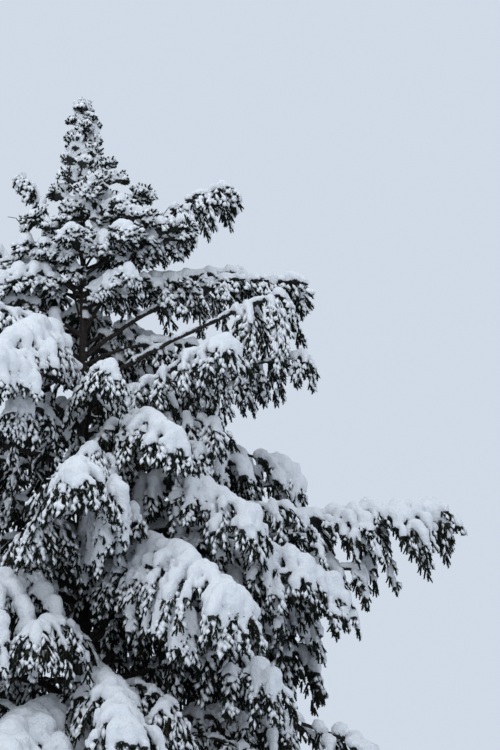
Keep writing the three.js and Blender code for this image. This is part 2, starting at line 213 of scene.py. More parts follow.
class Bough:
    """One limb's curve: t runs from 0 on the trunk's axis to 1 at the bough's tip."""

    def __init__(self, name, index, azimuth, root, reach, tip, arch, bare=0, load=None):
        self.name = name
        self.azimuth = azimuth
        self.root = root
        self.reach = reach
        self.tip = tip
        self.arch = arch
        self.bare = bare
        self.leafy = bare or FIRST_TWIG
        self.curl = CURL * (first_draw(CURL_SEED + CURL_SEED_STEP * index) - 0.5)
        self.random = np.random.default_rng(GROWTH_SEED + index)
        self.load = load or LOADS.get(name.split("_")[0]) or float(np.interp(root, *LOAD_AT_HEIGHT))
        self.smooth = name.startswith(("fore", "inner_drape"))
        self.half_width = by_size(reach, **HALF_WIDTH) * WIDTHS.get(name, 1.0)
        self.drop = by_size(reach, **DROP)

    def point(self, t):
        t = np.asarray(t, float)
        azimuth = np.radians(self.azimuth + self.curl * t**2)
        place = np.zeros(t.shape + (3,)) + trunk_centre(self.root)
        place[..., 0] += self.reach * t * np.cos(azimuth)
        place[..., 1] += self.reach * t * np.sin(azimuth)
        place[..., 2] = between(self.root, self.tip, t) + 4 * self.arch * t * (1 - t)
        return place

    def forward(self, t):
        ahead = self.point(np.asarray(t) + TANGENT_STEP)
        return unit(ahead - self.point(np.asarray(t) - TANGENT_STEP))

    def side(self, t):
        return unit(np.cross(self.forward(t), UP))

    def above(self, t):
        return np.cross(self.side(t), self.forward(t))

    def limb_radius(self, t):
        most = LIMB_OF_TRUNK * float(trunk_radius(self.root))
        root = by_size(self.reach, LIMB_THICKNESS, LIMB_EXTRA, most)
        return np.maximum(LIMB_MIN_RADIUS, root * (1 - LIMB_TAPER * np.asarray(t)))


example_bough = Bough("example", 0, azimuth=0, root=9, reach=4, tip=9, arch=0.3)
print("a bough of 4 m has a limb of", round(float(example_bough.limb_radius(0)), 3), "m radius at its root")

# %% [markdown]
# ## All the boughs
#
# The boughs that stand out come first, in the solid tree's order: the spire's two, the shown ones, and a
# spiral of nine that carries the crown down to the foot. A real spruce has many more, shorter ones that
# fill the crown behind them. They follow the same rule with a reach that stays inside the crown. In
# front of the stretch of trunk that shows they are left out, and high on the left they are kept short.

# %% The spire's and the lowest boughs
SPIRE_BOUGHS = 2
SPIRE_AZIMUTH = 20
SPIRE_ROOT = 14.4
SPIRE_TIP = 15.55
SPIRE_REACH = 0.15
SPIRE_ARCH = 0.06
SPIRE_STEP = 0.33  # how much lower the second of them stands
LOWER_BOUGHS = 9
LOWER_AZIMUTH = 150
GOLDEN_ANGLE = 137.5
# from the highest to the lowest of them: height of the root, reach, and how far the tip hangs below
LOWER_ROOTS = (6.5, 2.5)
LOWER_REACHES = (3.7, 4.15)
LOWER_DROOPS = (0.5, 0.9)
LOWER_ARCH = 0.42
# only the last three have a limb that shows, over this share of them
LOWER_BARE_BOUGHS = 3
LOWER_BARE = 0.34


def spire_rows():
    for k in range(SPIRE_BOUGHS):
        down = SPIRE_STEP * k
        yield f"spire_{k + 1}", dict(
            azimuth=SPIRE_AZIMUTH + 180 * k,
            root=SPIRE_ROOT - down,
            reach=SPIRE_REACH,
            tip=SPIRE_TIP - down,
            arch=SPIRE_ARCH,
        )


def lower_rows():
    for k in range(LOWER_BOUGHS):
        down = k / (LOWER_BOUGHS - 1)
        root = between(*LOWER_ROOTS, down)
        yield f"lower_{k + 1}", dict(
            azimuth=LOWER_AZIMUTH + GOLDEN_ANGLE * k,
            root=root,
            reach=between(*LOWER_REACHES, down),
            tip=root - between(*LOWER_DROOPS, down),
            arch=LOWER_ARCH,
            bare=LOWER_BARE if k >= LOWER_BOUGHS - LOWER_BARE_BOUGHS else 0,
        )


print("lowest root at", dict(lower_rows())[f"lower_{LOWER_BOUGHS}"]["root"], "m")

# %% The inner boughs
INNER_BOUGHS = 110
INNER_SEED = 7
INNER_ROOTS = (2.2, 14.4)
INNER_CROWDING = 0.84  # below 1, they stand closer together towards the top
INNER_AZIMUTH = 60
INNER_TURN = 14  # how many degrees they may stand off the spiral
# heights, and how far the inner boughs reach there
INNER_HEIGHTS = (1.9, 3.0, 5.0, 7.5, 9.0, 10.5, 12.0, 13.0, 14.0, 14.5)
INNER_REACH = (2.7, 3.1, 3.0, 2.8, 2.6, 2.25, 2.0, 1.6, 0.5, 0.28)
INNER_SHARES = (0.78, 1.06)  # of that reach
# how much they rise for each metre of reach, by height
RISE_HEIGHTS = (2, 9, 13, 14.5)
RISES = (-0.24, -0.06, 0.3, 0.9)
RISE_SPREAD = 0.08
INNER_ARCH = 0.13
# parts of the crown that are more open: from and to height, middle azimuth, how far to either side,
# and the share of its reach that an inner bough keeps there
OPEN_PARTS = ((11.9, 13.7, -90, 40, 0), (11.7, 13.3, -40, 36, 0), (13.1, 14.3, 185, 45, 0.5))


def share_kept(height, azimuth):
    for low, high, middle, half, share in OPEN_PARTS:
        off = abs((azimuth - middle + 180) % 360 - 180)
        if low < height < high and off < half:
            return share
    return 1.0


def inner_rows():
    draw = np.random.default_rng(INNER_SEED)
    for k in range(INNER_BOUGHS):
        root = between(*INNER_ROOTS, ((k + 0.5) / INNER_BOUGHS) ** INNER_CROWDING)
        azimuth = INNER_AZIMUTH + GOLDEN_ANGLE * k + draw.uniform(-INNER_TURN, INNER_TURN)
        reach = float(np.interp(root, INNER_HEIGHTS, INNER_REACH)) * draw.uniform(*INNER_SHARES)
        rise = np.interp(root, RISE_HEIGHTS, RISES) + draw.uniform(-RISE_SPREAD, RISE_SPREAD)
        reach *= share_kept(root, azimuth)
        tip = root + rise * reach
        if reach > 0:
            row = dict(azimuth=azimuth, root=root, reach=reach, tip=tip, arch=INNER_ARCH * reach)
            yield f"inner_{k + 1}", row


print(len(list(inner_rows())), "inner boughs")

# %% The spire's young whorls
WHORLS = 22
WHORL_AZIMUTH = 30
WHORL_HEIGHTS = (14.2, 14.7, 15.3, 15.65, 15.85)
WHORL_REACH = (0.38, 0.16, 0.13, 0.07, 0.03)
TOP_TO_WHORL = 0.05
# their tips rise by a share of their reach, and by a little more
WHORL_RISE = 0.7
WHORL_EXTRA_RISE = 0.03
WHORL_ARCH = 0.02


def whorl_rows():
    for k in range(WHORLS):
        root = between(WHORL_HEIGHTS[0], WHORL_HEIGHTS[-1] - TOP_TO_WHORL, (k + 0.5) / WHORLS)
        reach = float(np.interp(root, WHORL_HEIGHTS, WHORL_REACH))
        tip = min(root + WHORL_RISE * reach + WHORL_EXTRA_RISE, WHORL_HEIGHTS[-1])
        row = dict(azimuth=WHORL_AZIMUTH + GOLDEN_ANGLE * k, root=root, reach=reach, tip=tip, arch=WHORL_ARCH)
        yield f"inner_spire_{k + 1}", row


print(len(list(whorl_rows())), "short boughs in the spire")

# %% Boughs that fill gaps
# they stand between the shown ones, where the photo shows a dense crown or snow on a nearer slope
FILLING_BOUGHS = [
    ("inner_right_1", dict(azimuth=12, root=12.95, reach=2.08, tip=13.58, arch=0.14, load=1.1)),
    ("inner_right_2", dict(azimuth=32, root=13.2, reach=1.6, tip=13.55, arch=0.12, load=1.1)),
    ("inner_right_3", dict(azimuth=-8, root=13.42, reach=1.35, tip=14.0, arch=0.1)),
    ("inner_right_4", dict(azimuth=24, root=11.5, reach=1.7, tip=11.75, arch=0.3)),
    ("inner_right_5", dict(azimuth=-30, root=10.9, reach=2.0, tip=11.0, arch=0.3)),
    ("inner_right_6", dict(azimuth=8, root=14.45, reach=0.45, tip=14.78, arch=0.05)),
    ("inner_right_7", dict(azimuth=-6, root=11.5, reach=2.86, tip=12.15, arch=0.15)),
    ("inner_right_8", dict(azimuth=-8, root=9.9, reach=2.6, tip=10.15, arch=0.15)),
    ("inner_drape_1", dict(azimuth=-62, root=9.15, reach=3.1, tip=8.1, arch=0.45, load=1.35)),
    ("inner_drape_2", dict(azimuth=-76, root=9.9, reach=2.75, tip=9.62, arch=0.4, load=1.6)),
    ("inner_right_9", dict(azimuth=5, root=13.5, reach=1.25, tip=13.98, arch=0.05, load=1.1)),
    ("inner_right_10", dict(azimuth=-35, root=8.6, reach=2.9, tip=7.65, arch=0.4, load=1.2)),
    ("inner_right_11", dict(azimuth=2, root=14.72, reach=0.3, tip=14.96, arch=0.03)),
    ("inner_right_12", dict(azimuth=3, root=9.3, reach=3.05, tip=9.62, arch=0.2)),
    ("inner_right_13", dict(azimuth=-38, root=10.3, reach=2.75, tip=9.6, arch=0.42, load=1.35)),
    ("inner_right_14", dict(azimuth=10, root=13.78, reach=0.85, tip=14.3, arch=0.04)),
    ("inner_right_15", dict(azimuth=-8, root=11.4, reach=2.2, tip=11.95, arch=0.1)),
    ("inner_right_16", dict(azimuth=-22, root=9.75, reach=3.0, tip=9.15, arch=0.38, load=1.35)),
    ("inner_right_17", dict(azimuth=-4, root=10.2, reach=2.0, tip=10.78, arch=0.42, load=1.35)),
    ("inner_drape_3", dict(azimuth=-100, root=7.4, reach=3.5, tip=6.35, arch=0.4, load=1.6)),
    ("inner_back_1", dict(azimuth=88, root=12.95, reach=1.2, tip=13.2, arch=0.1)),
    ("inner_back_2", dict(azimuth=128, root=12.6, reach=1.7, tip=12.9, arch=0.15)),
    ("inner_back_3", dict(azimuth=66, root=12.3, reach=1.8, tip=12.65, arch=0.2)),
    ("inner_back_4", dict(azimuth=148, root=13.1, reach=1.3, tip=13.45, arch=0.1)),
    ("inner_back_5", dict(azimuth=118, root=9.45, reach=1.9, tip=9.35, arch=0.2)),
    ("inner_left_1", dict(azimuth=182, root=13.2, reach=1.35, tip=13.7, arch=0.08, load=1.6)),
    ("inner_left_2", dict(azimuth=-152, root=13.42, reach=0.8, tip=13.68, arch=0.1)),
    ("inner_front_1", dict(azimuth=-82, root=14.12, reach=0.5, tip=14.36, arch=0.08)),
    ("inner_right_18", dict(azimuth=-28, root=13.85, reach=0.85, tip=14.1, arch=0.1)),
    ("inner_right_19", dict(azimuth=-52, root=13.5, reach=0.95, tip=13.74, arch=0.1)),
    ("inner_right_20", dict(azimuth=2, root=8.42, reach=2.8, tip=8.88, arch=0.32, bare=0.6, load=1.4)),
    ("inner_right_21", dict(azimuth=-2, root=9.0, reach=3.46, tip=9.46, arch=0.2, bare=0.76, load=1.4)),
    ("inner_front_2", dict(azimuth=-100, root=13.5, reach=0.75, tip=13.72, arch=0.08)),
    ("inner_front_3", dict(azimuth=-50, root=13.0, reach=0.95, tip=13.15, arch=0.08)),
    ("inner_front_4", dict(azimuth=-108, root=9.48, reach=1.7, tip=9.2, arch=0.16, load=0.9)),
    ("inner_left_3", dict(azimuth=-146, root=13.1, reach=1.35, tip=12.95, arch=0.26, load=1.45)),
]

rows = [*spire_rows(), *SHOWN_BOUGHS, *lower_rows(), *inner_rows(), *whorl_rows(), *FILLING_BOUGHS]
BOUGHS = [Bough(name, index, **row) for index, (name, row) in enumerate(rows)]
print(len(BOUGHS), "boughs,", sum(b.name.startswith("inner") for b in BOUGHS), "of them inner ones")

# %% [markdown]
# ## Camera, light and floor
#
# The photo looks up at the crown from the ground some 28 metres away, with a lens long enough that the
# trunk stays almost upright. A long lens on a level-headed camera, pitched up and not turned or rolled,
# gives the same perspective. The day is overcast: a pale sky that lights everything softly, brightest
# from above, and a plain pale floor that throws a little of it back.

# %% Camera
EYE_PLACE = (1.98, -28.0, 1.6)
EYE_PITCH = 20.45
LENS = 112.5
SENSOR_WIDTH = 36
FARTHEST_SEEN = 200

camera_data = bpy.data.cameras.new("camera")
camera_data.lens = LENS
camera_data.sensor_width = SENSOR_WIDTH
camera_data.clip_end = FARTHEST_SEEN
camera = bpy.data.objects.new("camera", camera_data)
camera.location = EYE_PLACE
camera.rotation_euler = (math.radians(90 + EYE_PITCH), 0, 0)
bpy.context.scene.collection.objects.link(camera)
bpy.context.scene.camera = camera
print("camera", EYE_PLACE, "pitch", EYE_PITCH)

# %% [markdown]
# ## Node helpers
#
# Materials are networks of nodes. Written out one by one they hide what they do, so a small class wraps
# an output socket and lets Python's own operators add the Math nodes: `1 - mask` is then a sentence. Any
# other node comes from one method that takes its type, its settings, and what its sockets receive.


# %% A socket that takes part in arithmetic
class Signal:
    """An output socket of a node tree; arithmetic on it adds Math nodes."""

    def __init__(self, tree, socket):
        self.tree = tree
        self.socket = socket

    def math(self, operation, *values):
        inputs = dict(enumerate(values))
        return self.tree.node("ShaderNodeMath", {"operation": operation}, inputs)

    def __add__(self, other):
        return self.math("ADD", self, other)

    __radd__ = __add__

    def __mul__(self, other):
        return self.math("MULTIPLY", self, other)

    __rmul__ = __mul__

    def __sub__(self, other):
        return self.math("SUBTRACT", self, other)

    def __rsub__(self, other):
        return self.math("SUBTRACT", other, self)


print("sockets can be added, subtracted and multiplied")


# %% A node tree
class Tree:
    """A node tree with one method that adds any node and wires it up."""

    def __init__(self, node_tree):
        self.made = node_tree

    def node(self, kind, settings=None, inputs=None, output=0):
        """Adds a node: its settings first, then a value or a link for each socket; returns one output."""
        added = self.made.nodes.new(kind)
        for key, value in (settings or {}).items():
            if key == "stops":
                set_stops(added.color_ramp, value)
            else:
                setattr(added, key, value)
        for key, value in (inputs or {}).items():
            self.feed(added.inputs[key], value)
        return Signal(self, added.outputs[output]) if len(added.outputs) else added

    def feed(self, socket, value):
        if isinstance(value, Signal):
            self.made.links.new(value.socket, socket)
        else:
            socket.default_value = value

    def mix(self, factor, first, second):
        """A colour between two colours; the sockets 6 and 7 are the colour ones of the Mix node."""
        settings = {"data_type": "RGBA", "clamp_factor": True}
        return self.node("ShaderNodeMix", settings, {0: factor, 6: first, 7: second}, output=2)

    def noise(self, place, scale, detail=2.0, roughness=0.5):
        inputs = {"Vector": place, "Scale": scale, "Detail": detail, "Roughness": roughness}
        return self.node("ShaderNodeTexNoise", {}, inputs)

    def bump(self, height, distance, strength=0.8, **under):
        """A normal that follows the height; under may hold the Normal that it is laid on."""
        inputs = {"Strength": strength, "Distance": distance, "Height": height, **under}
        return self.node("ShaderNodeBump", {}, inputs)


print("a tree adds a node, feeds its sockets and gives back one of its outputs")

# %% A material


def set_stops(ramp, stops):
    while len(ramp.elements) < len(stops):
        ramp.elements.new(1.0)
    for element, (position, colour) in zip(ramp.elements, stops):
        element.position = position
        element.color = colour


def finish(name, build, **uniform):
    """A material: build feeds what varies, uniform sets what is the same all over."""
    material = bpy.data.materials.new(name)
    material.use_nodes = True
    material.node_tree.nodes.clear()
    tree = Tree(material.node_tree)
    place = tree.node("ShaderNodeTexCoord", output="Object")
    varying = build(tree, place)
    shader = tree.node("ShaderNodeBsdfPrincipled", {}, {**uniform, **varying})
    tree.node("ShaderNodeOutputMaterial", {}, {"Surface": shader})
    return material


print("a material is made by finish, from a function that builds its nodes")

# %% [markdown]
# ## Sky, lamps and floor
#
# A uniform sky would light the undersides as much as the tops, and the snow would lose its shape. Here
# the world is pale and even, and two very large, soft lamps add the brighter parts of the sky: the upper
# sky, so that the crown of each bank is whiter than its flank, and the open sky behind the camera. The
# floor only throws light back, so one large, pale face is enough.

# %% Sky
SKY = (0.635, 0.705, 0.80, 1)
SKY_STRENGTH = 1.0

world = bpy.data.worlds.new("overcast sky")
world.use_nodes = True
world.node_tree.nodes.clear()
sky_tree = Tree(world.node_tree)
sky = sky_tree.node("ShaderNodeBackground", {}, {"Color": SKY, "Strength": SKY_STRENGTH})
sky_tree.node("ShaderNodeOutputWorld", {}, {"Surface": sky})
bpy.context.scene.world = world
bpy.context.scene.view_settings.view_transform = "Standard"
print("sky", SKY[:3])

# %% Lamps


def soft_lamp(name, place, target, side, power, colour):
    data = bpy.data.lights.new(name, "AREA")
    data.shape = "SQUARE"
    data.size = side
    data.energy = power
    data.color = colour
    lamp = bpy.data.objects.new(name, data)
    lamp.location = place
    aim = Vector(target) - Vector(place)
    lamp.rotation_euler = aim.to_track_quat("-Z", "Y").to_euler()
    bpy.context.scene.collection.objects.link(lamp)


UPPER_SKY = dict(place=(-4, -6, 34), target=(0, 0, 10), side=30, power=2250)
OPEN_SKY = dict(place=(-10, -38, 16), target=(0, 0, 9), side=24, power=2150)
soft_lamp("upper sky", colour=(0.93, 0.97, 1.0), **UPPER_SKY)
soft_lamp("open sky in front", colour=(0.95, 0.98, 1.0), **OPEN_SKY)
print("lamps of", UPPER_SKY["power"], "and", OPEN_SKY["power"], "W")

# %% Floor
FLOOR_HALF_SIDE = 60.0
FLOOR_MOTTLING = dict(scale=0.35, detail=3.0)
FLOOR_COLOURS = ((0.66, 0.68, 0.71, 1), (0.74, 0.76, 0.78, 1))


def new_object(name, mesh, materials):
    piece = bpy.data.objects.new(name, mesh)
    for material in materials:
        mesh.materials.append(material)
    bpy.context.scene.collection.objects.link(piece)
    return piece


def floor_build(tree, place):
    return {"Base Color": tree.mix(tree.noise(place, **FLOOR_MOTTLING), *FLOOR_COLOURS)}


bm = bmesh.new()
bmesh.ops.create_grid(bm, x_segments=1, y_segments=1, size=FLOOR_HALF_SIDE)
floor_mesh = bpy.data.meshes.new("floor")
bm.to_mesh(floor_mesh)
bm.free()
floor = new_object("floor", floor_mesh, [finish("pale_floor", floor_build, Roughness=0.9)])
print("a floor of", 2 * FLOOR_HALF_SIDE, "m")

# %% [markdown]
# ## Snow
#
# Fresh snow is a cool white, matt, with soft lumps and a fine grain, and its colour carries painted shade in
# the hollows of the lumps and painted light on their tops. Where a bank hangs over, its underside is painted
# near-black, partly as the needles and twigs that are frozen into it and partly as painted shade. An image
# could carry all that, but it would have to be wrapped round thousands of lumps. Noises in the object's own
# space need no wrapping, and an attribute of the mesh, made together with the banks, says where snow faces
# down.

# %% Snow, and snow painted lighter
UNDERSIDE = "underside"  # the attribute's name
UNDERSIDE_EDGE = 7.0  # how sharply the dark undersides begin
# noises, whose scale counts waves to the metre
LUMPS = dict(scale=13.0, detail=4.0, roughness=0.6)
GRAIN = dict(scale=48.0, detail=3.0, roughness=0.6)
# the noise that breaks up the undersides' near-black, which is partly painted shade
FROZEN_IN_AND_SHADE_PATCHES = dict(scale=30.0, detail=2.0, roughness=0.7)
LIGHTER_SNOW_LUMPS = dict(scale=13.0)
LUMP_HEIGHT = 0.045
GRAIN_HEIGHT = 0.016
# colours of the hollows and of the tops: painted shade in the lumps' hollows, painted light on their tops
SNOW_PAINTED_HOLLOW_SHADE_AND_TOP_LIGHT = ((0.81, 0.83, 0.87, 1), (0.90, 0.915, 0.935, 1))
# the snow on the shoots and twigs is a paler copy of the snow: painted light that lifts it out of the crown's
# shade
LIGHTER_SNOW_COLOURS = ((0.90, 0.92, 0.95, 1), (0.96, 0.97, 0.98, 1))
# near-black on the undersides: partly needles frozen into the snow, partly painted shade where the banks face
# down
FROZEN_NEEDLES_AND_PAINTED_SHADE = (0.014, 0.016, 0.012, 1)
SNOW_ROUGHNESS = (0.55, 0.80)


def snow_build(tree, place):
    """White snow with painted shade in its hollows; its undersides, which the attribute marks, are painted
    near-black, partly as needles and twigs frozen into them and partly as painted shade.
    """
    lumps = tree.noise(place, **LUMPS)
    grain = tree.noise(place, **GRAIN)
    # the lumps noise is also the bump's height, so this puts painted shade in the hollows and painted light
    # on the tops
    white = tree.mix(lumps, *SNOW_PAINTED_HOLLOW_SHADE_AND_TOP_LIGHT)
    underside = tree.node("ShaderNodeAttribute", {"attribute_name": UNDERSIDE}, output="Fac")
    # the downward faces get the near-black: partly frozen-in needles, partly painted shade
    frozen_in_and_painted_shade = UNDERSIDE_EDGE * (underside + tree.noise(place, **FROZEN_IN_AND_SHADE_PATCHES) - 1.0)
    colour = tree.mix(frozen_in_and_painted_shade, white, FROZEN_NEEDLES_AND_PAINTED_SHADE)
    normal = tree.bump(grain, GRAIN_HEIGHT, Normal=tree.bump(lumps, LUMP_HEIGHT))
    return {"Base Color": colour, "Roughness": between(*SNOW_ROUGHNESS, lumps), "Normal": normal}


def lighter_snow_build(tree, place):
    return {"Base Color": tree.mix(tree.noise(place, **LIGHTER_SNOW_LUMPS), *LIGHTER_SNOW_COLOURS)}


SNOW = finish("snow", snow_build)
SNOW_PAINTED_LIGHTER = finish("frost", lighter_snow_build, Roughness=0.7)
print("finishes", SNOW.name, "and", SNOW_PAINTED_LIGHTER.name)

# %% [markdown]
# ## Bark and needles
#
# Bark is grey-brown in scaly plates with dark cracks between them. A Voronoi texture gives its distance
# to the edge of a cell, and a ramp turns that into cracks. Spruce needles in winter are so dark that
# they look black against snow. A crown has shoots of several greens and a dull brown, so there are four
# plain finishes, and they are dealt out shoot by shoot.

# %% Bark and twigs
PLATES_TO_THE_METRE = 34.0
PLATE_STRETCH = (1, 1, 0.45)
CRACK_WIDTH = 0.12
CRACK_COLOUR = (0.009, 0.007, 0.006, 1)
BLOTCHES = dict(scale=7.0, detail=4.0)
BLOTCH_HEIGHT = 0.4  # next to that of the plates
BARK_COLOURS = ((0.026, 0.020, 0.017, 1), (0.062, 0.052, 0.045, 1))
BARK_ROUGHNESS = (0.75, 0.95)
BARK_HEIGHT = 0.012
TWIG_RINGS = dict(scale=60.0, detail=3.0)
TWIG_COLOURS = ((0.012, 0.009, 0.007, 1), (0.035, 0.026, 0.019, 1))
TWIG_BUMP = dict(distance=0.003, strength=0.5)
DULL = {"Specular IOR Level": 0.15}


def bark_build(tree, place):
    stretched = tree.node("ShaderNodeMapping", {}, {"Vector": place, "Scale": PLATE_STRETCH})
    edges = {"feature": "DISTANCE_TO_EDGE"}
    plates = tree.node("ShaderNodeTexVoronoi", edges, {"Vector": stretched, "Scale": PLATES_TO_THE_METRE})
    blotches = tree.noise(place, **BLOTCHES)
    stops = [(0.0, (0, 0, 0, 1)), (CRACK_WIDTH, (1, 1, 1, 1))]
    cracks = tree.node("ShaderNodeValToRGB", {"stops": stops}, {"Fac": plates})
    colour = tree.mix(cracks, CRACK_COLOUR, tree.mix(blotches, *BARK_COLOURS))
    normal = tree.bump(plates + BLOTCH_HEIGHT * blotches, BARK_HEIGHT)
    return {"Base Color": colour, "Roughness": between(*BARK_ROUGHNESS, blotches), "Normal": normal}


def twig_build(tree, place):
    rings = tree.noise(place, **TWIG_RINGS)
    return {"Base Color": tree.mix(rings, *TWIG_COLOURS), "Normal": tree.bump(rings, **TWIG_BUMP)}


BARK = finish("scaly_bark", bark_build, **DULL)
TWIG = finish("twig", twig_build, Roughness=0.85, **DULL)
print("finishes", BARK.name, "and", TWIG.name)

# %% Needles in four colours
NEEDLE_COLOURS = {
    "needles_deep": (0.006, 0.011, 0.008, 1),
    "needles_green": (0.010, 0.017, 0.010, 1),
    "needles_olive": (0.016, 0.021, 0.010, 1),
    "needles_brown": (0.028, 0.020, 0.012, 1),
}


def needle_finish(name, colour):
    return finish(name, lambda tree, place: {}, **{"Base Color": colour, "Roughness": 0.6, **DULL})


NEEDLES = [needle_finish(name, colour) for name, colour in NEEDLE_COLOURS.items()]
print("finishes", [finished.name for finished in NEEDLES])

# %% [markdown]
# ## Bark on the trunk
#
# The trunk is a tapering, fluted column. A cone from bmesh, cut into rings, gives clean columns of faces.
# Its vertices are then moved to the trunk's surface, and pushed in and out by a noise that is stretched
# along the trunk, which raises real scales and furrows.

# %% Trunk
TRUNK_SIDES = 48
TRUNK_RINGS = 240
RING_SPREAD = 1.25
BARK_RELIEF = 0.05  # share of the radius
FURROWS = (26.0, 9.0)  # across the trunk, and along it
FINE_FURROWS = 2.3  # how many times finer the small furrows are
FINE_FURROW_HEIGHT = 0.5  # next to the large ones


def triangles(mesh):
    mesh.calc_loop_triangles()
    return len(mesh.loop_triangles)


def trunk_surface(z, angle):
    """The place on the trunk at this height and angle, with its flare, lobes and furrows."""
    foot = math.exp(-z / FLARE_HEIGHT)
    radius = float(trunk_radius(z)) * (1 + FLARE_SHARE * foot)
    radius *= 1 + LOBE_SHARE * foot * math.cos(ROOT_LOBES * angle)
    x, y, _ = trunk_centre(z)
    across, along = FURROWS
    spot = Vector((math.cos(angle) * radius * across, math.sin(angle) * radius * across, z * along))
    scales = noise.noise(spot) + FINE_FURROW_HEIGHT * noise.noise(spot * FINE_FURROWS)
    radius *= 1 + BARK_RELIEF * scales
    return x + radius * math.cos(angle), y + radius * math.sin(angle), z


def trunk_mesh():
    """A cone of unit height between z = -0.5 and 0.5, cut into rings and moved to the trunk's surface."""
    bm = bmesh.new()
    bmesh.ops.create_cone(bm, cap_ends=True, segments=TRUNK_SIDES, radius1=1, radius2=1, depth=1)
    upright = [edge for edge in bm.edges if edge.verts[0].co.z * edge.verts[1].co.z < 0]
    bmesh.ops.subdivide_edges(bm, edges=upright, cuts=TRUNK_RINGS - 1)
    for vertex in bm.verts:
        z = HEIGHT * (vertex.co.z + 0.5) ** RING_SPREAD
        vertex.co = trunk_surface(z, math.atan2(vertex.co.y, vertex.co.x))
    mesh = bpy.data.meshes.new("trunk_bark")
    bm.to_mesh(mesh)
    bm.free()
    return mesh


trunk = new_object("trunk_bark", trunk_mesh(), [BARK])
trunk.data.shade_smooth()
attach(trunk, "root")
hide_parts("trunk")
print("trunk", triangles(trunk.data), "triangles")

# %% [markdown]
# ## Limbs
#
# Each limb is a tube that tapers along its bough. A curve object makes hundreds of such tubes at once:
# every limb is one spline, each point carries its own radius, and the curve's round bevel of 1 metre is
# scaled by it. The points wander a little off the bough's smooth curve, because no limb is even, and
# the curve is then turned into a mesh.

# %% Tubes along many paths
LIMB_STEP = 0.12
FEWEST_LIMB_POINTS = 6
LIMB_ENDS = (0.01, 0.99)
LIMB_WANDER = 0.25  # share of the limb's radius


def tubes(name, paths, resolution, material):
    """One mesh of tubes: paths are pairs of points and radii; resolution sets how round they are."""
    curve = bpy.data.curves.new(name, "CURVE")
    curve.dimensions = "3D"
    curve.bevel_depth = 1.0
    curve.bevel_resolution = resolution
    for points, radii in paths:
        spline = curve.splines.new("POLY")
        spline.points.add(len(points) - 1)
        spline.points.foreach_set("co", np.column_stack([points, np.ones(len(points))]).ravel())
        spline.points.foreach_set("radius", np.asarray(radii, float))
    maker = bpy.data.objects.new(name, curve)
    bpy.context.scene.collection.objects.link(maker)
    mesh = bpy.data.meshes.new_from_object(maker.evaluated_get(bpy.context.evaluated_depsgraph_get()))
    mesh.name = name
    bpy.data.objects.remove(maker)
    bpy.data.curves.remove(curve)
    mesh.materials.clear()
    return new_object(name, mesh, [material])


def limb_path(bough):
    count = max(FEWEST_LIMB_POINTS, int(bough.reach / LIMB_STEP))
    t = np.linspace(*LIMB_ENDS, count)
    wander = LIMB_WANDER * bough.limb_radius(t)[:, None] * bough.random.normal(size=(count, 3))
    return bough.point(t) + wander, bough.limb_radius(t)


limbs = tubes("limb_bark", [limb_path(b) for b in BOUGHS], 1, BARK)
limbs.data.shade_smooth()
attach(limbs, "root")
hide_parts(*[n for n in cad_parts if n.endswith("_bough")])
print("limbs", triangles(limbs.data), "triangles")

# %% [markdown]
# ## Twigs
#
# Branchlets leave a bough in pairs, at an angle that closes towards the tip. A young one near the top
# stands out stiffly. Lower down each one runs outwards first and then hangs, because it is old, long and
# laden: this is what turns a spruce bough into a row of drapes. Finer twigs stand off it left and right,
# and they carry the shoots. The lists made here drive all that follows: where needles grow and where
# snow lies.

# %% How the branchlets stand
FINE_ABOVE = 6.3
COARSE = 2.5
STIFF_HEIGHTS = (12.4, 14.6)


def coarseness(bough):
    """The low boughs carry fewer, larger shoots, so that their count stays in hand."""
    return 1.0 if bough.root > FINE_ABOVE else COARSE


def stiffness(height):
    """0 where branchlets hang, 1 in the young spire where they stand out."""
    return np.interp(height, STIFF_HEIGHTS, (0.0, 1.0))


print("stiffness at 13 m", round(float(stiffness(13)), 2))

# %% The branchlet's curve
BRANCHLET_POINTS = 5
BEND = 1.5  # the power that lets a branchlet run outwards first, and then down
RUN_STEP = 0.08  # how far before and behind a place its direction is measured


class Branchlet:
    """A side branch: out to one side of its bough first, then down."""

    def __init__(self, bough, place, out, length, hang):
        self.bough = bough
        self.out = out
        self.across = unit(np.cross(out, UP))
        u = np.linspace(0, 1, BRANCHLET_POINTS)[:, None]
        self.points = place + out * length * (1 - (1 - u) ** BEND) - UP * hang * u**BEND
        self.arc = float(np.linalg.norm(np.diff(self.points, axis=0), axis=1).sum())
        self.random = bough.random

    def at(self, u):
        spot = np.clip(np.asarray(u, float), 0, 1) * (BRANCHLET_POINTS - 1)
        below = np.clip(spot.astype(int), 0, BRANCHLET_POINTS - 2)
        return self.points[below] + (spot - below)[..., None] * (self.points[below + 1] - self.points[below])

    def run(self, u):
        return unit(self.at(np.asarray(u) + RUN_STEP) - self.at(np.asarray(u) - RUN_STEP))


example_branchlet = Branchlet(BOUGHS[0], np.zeros(3), np.array([1.0, 0.0, 0.0]), length=0.8, hang=0.6)
print("a branchlet that reaches 0.8 m and hangs 0.6 m is", round(example_branchlet.arc, 2), "m long")

# %% Measures of the branchlets
BRANCHLET_STEP = 0.25
FEWEST_BRANCHLETS = 3
# on a short bough they stand closer: only this share of the step is kept, and more of it as the bough
# grows, until all of it is kept; the reach, divided by the second number, is what is added to the share
SHORT_SHARE = 0.35
SHORT_REACH = 3
# their angle from the bough in degrees, how much it closes towards the tip, and how much it varies
BRANCHLET_ANGLE = 62
BRANCHLET_CLOSING = 0.35
ANGLE_SPREAD = 14
MOST_ROLL = 75  # how far a stiff one may stand out of the bough's plane, in degrees
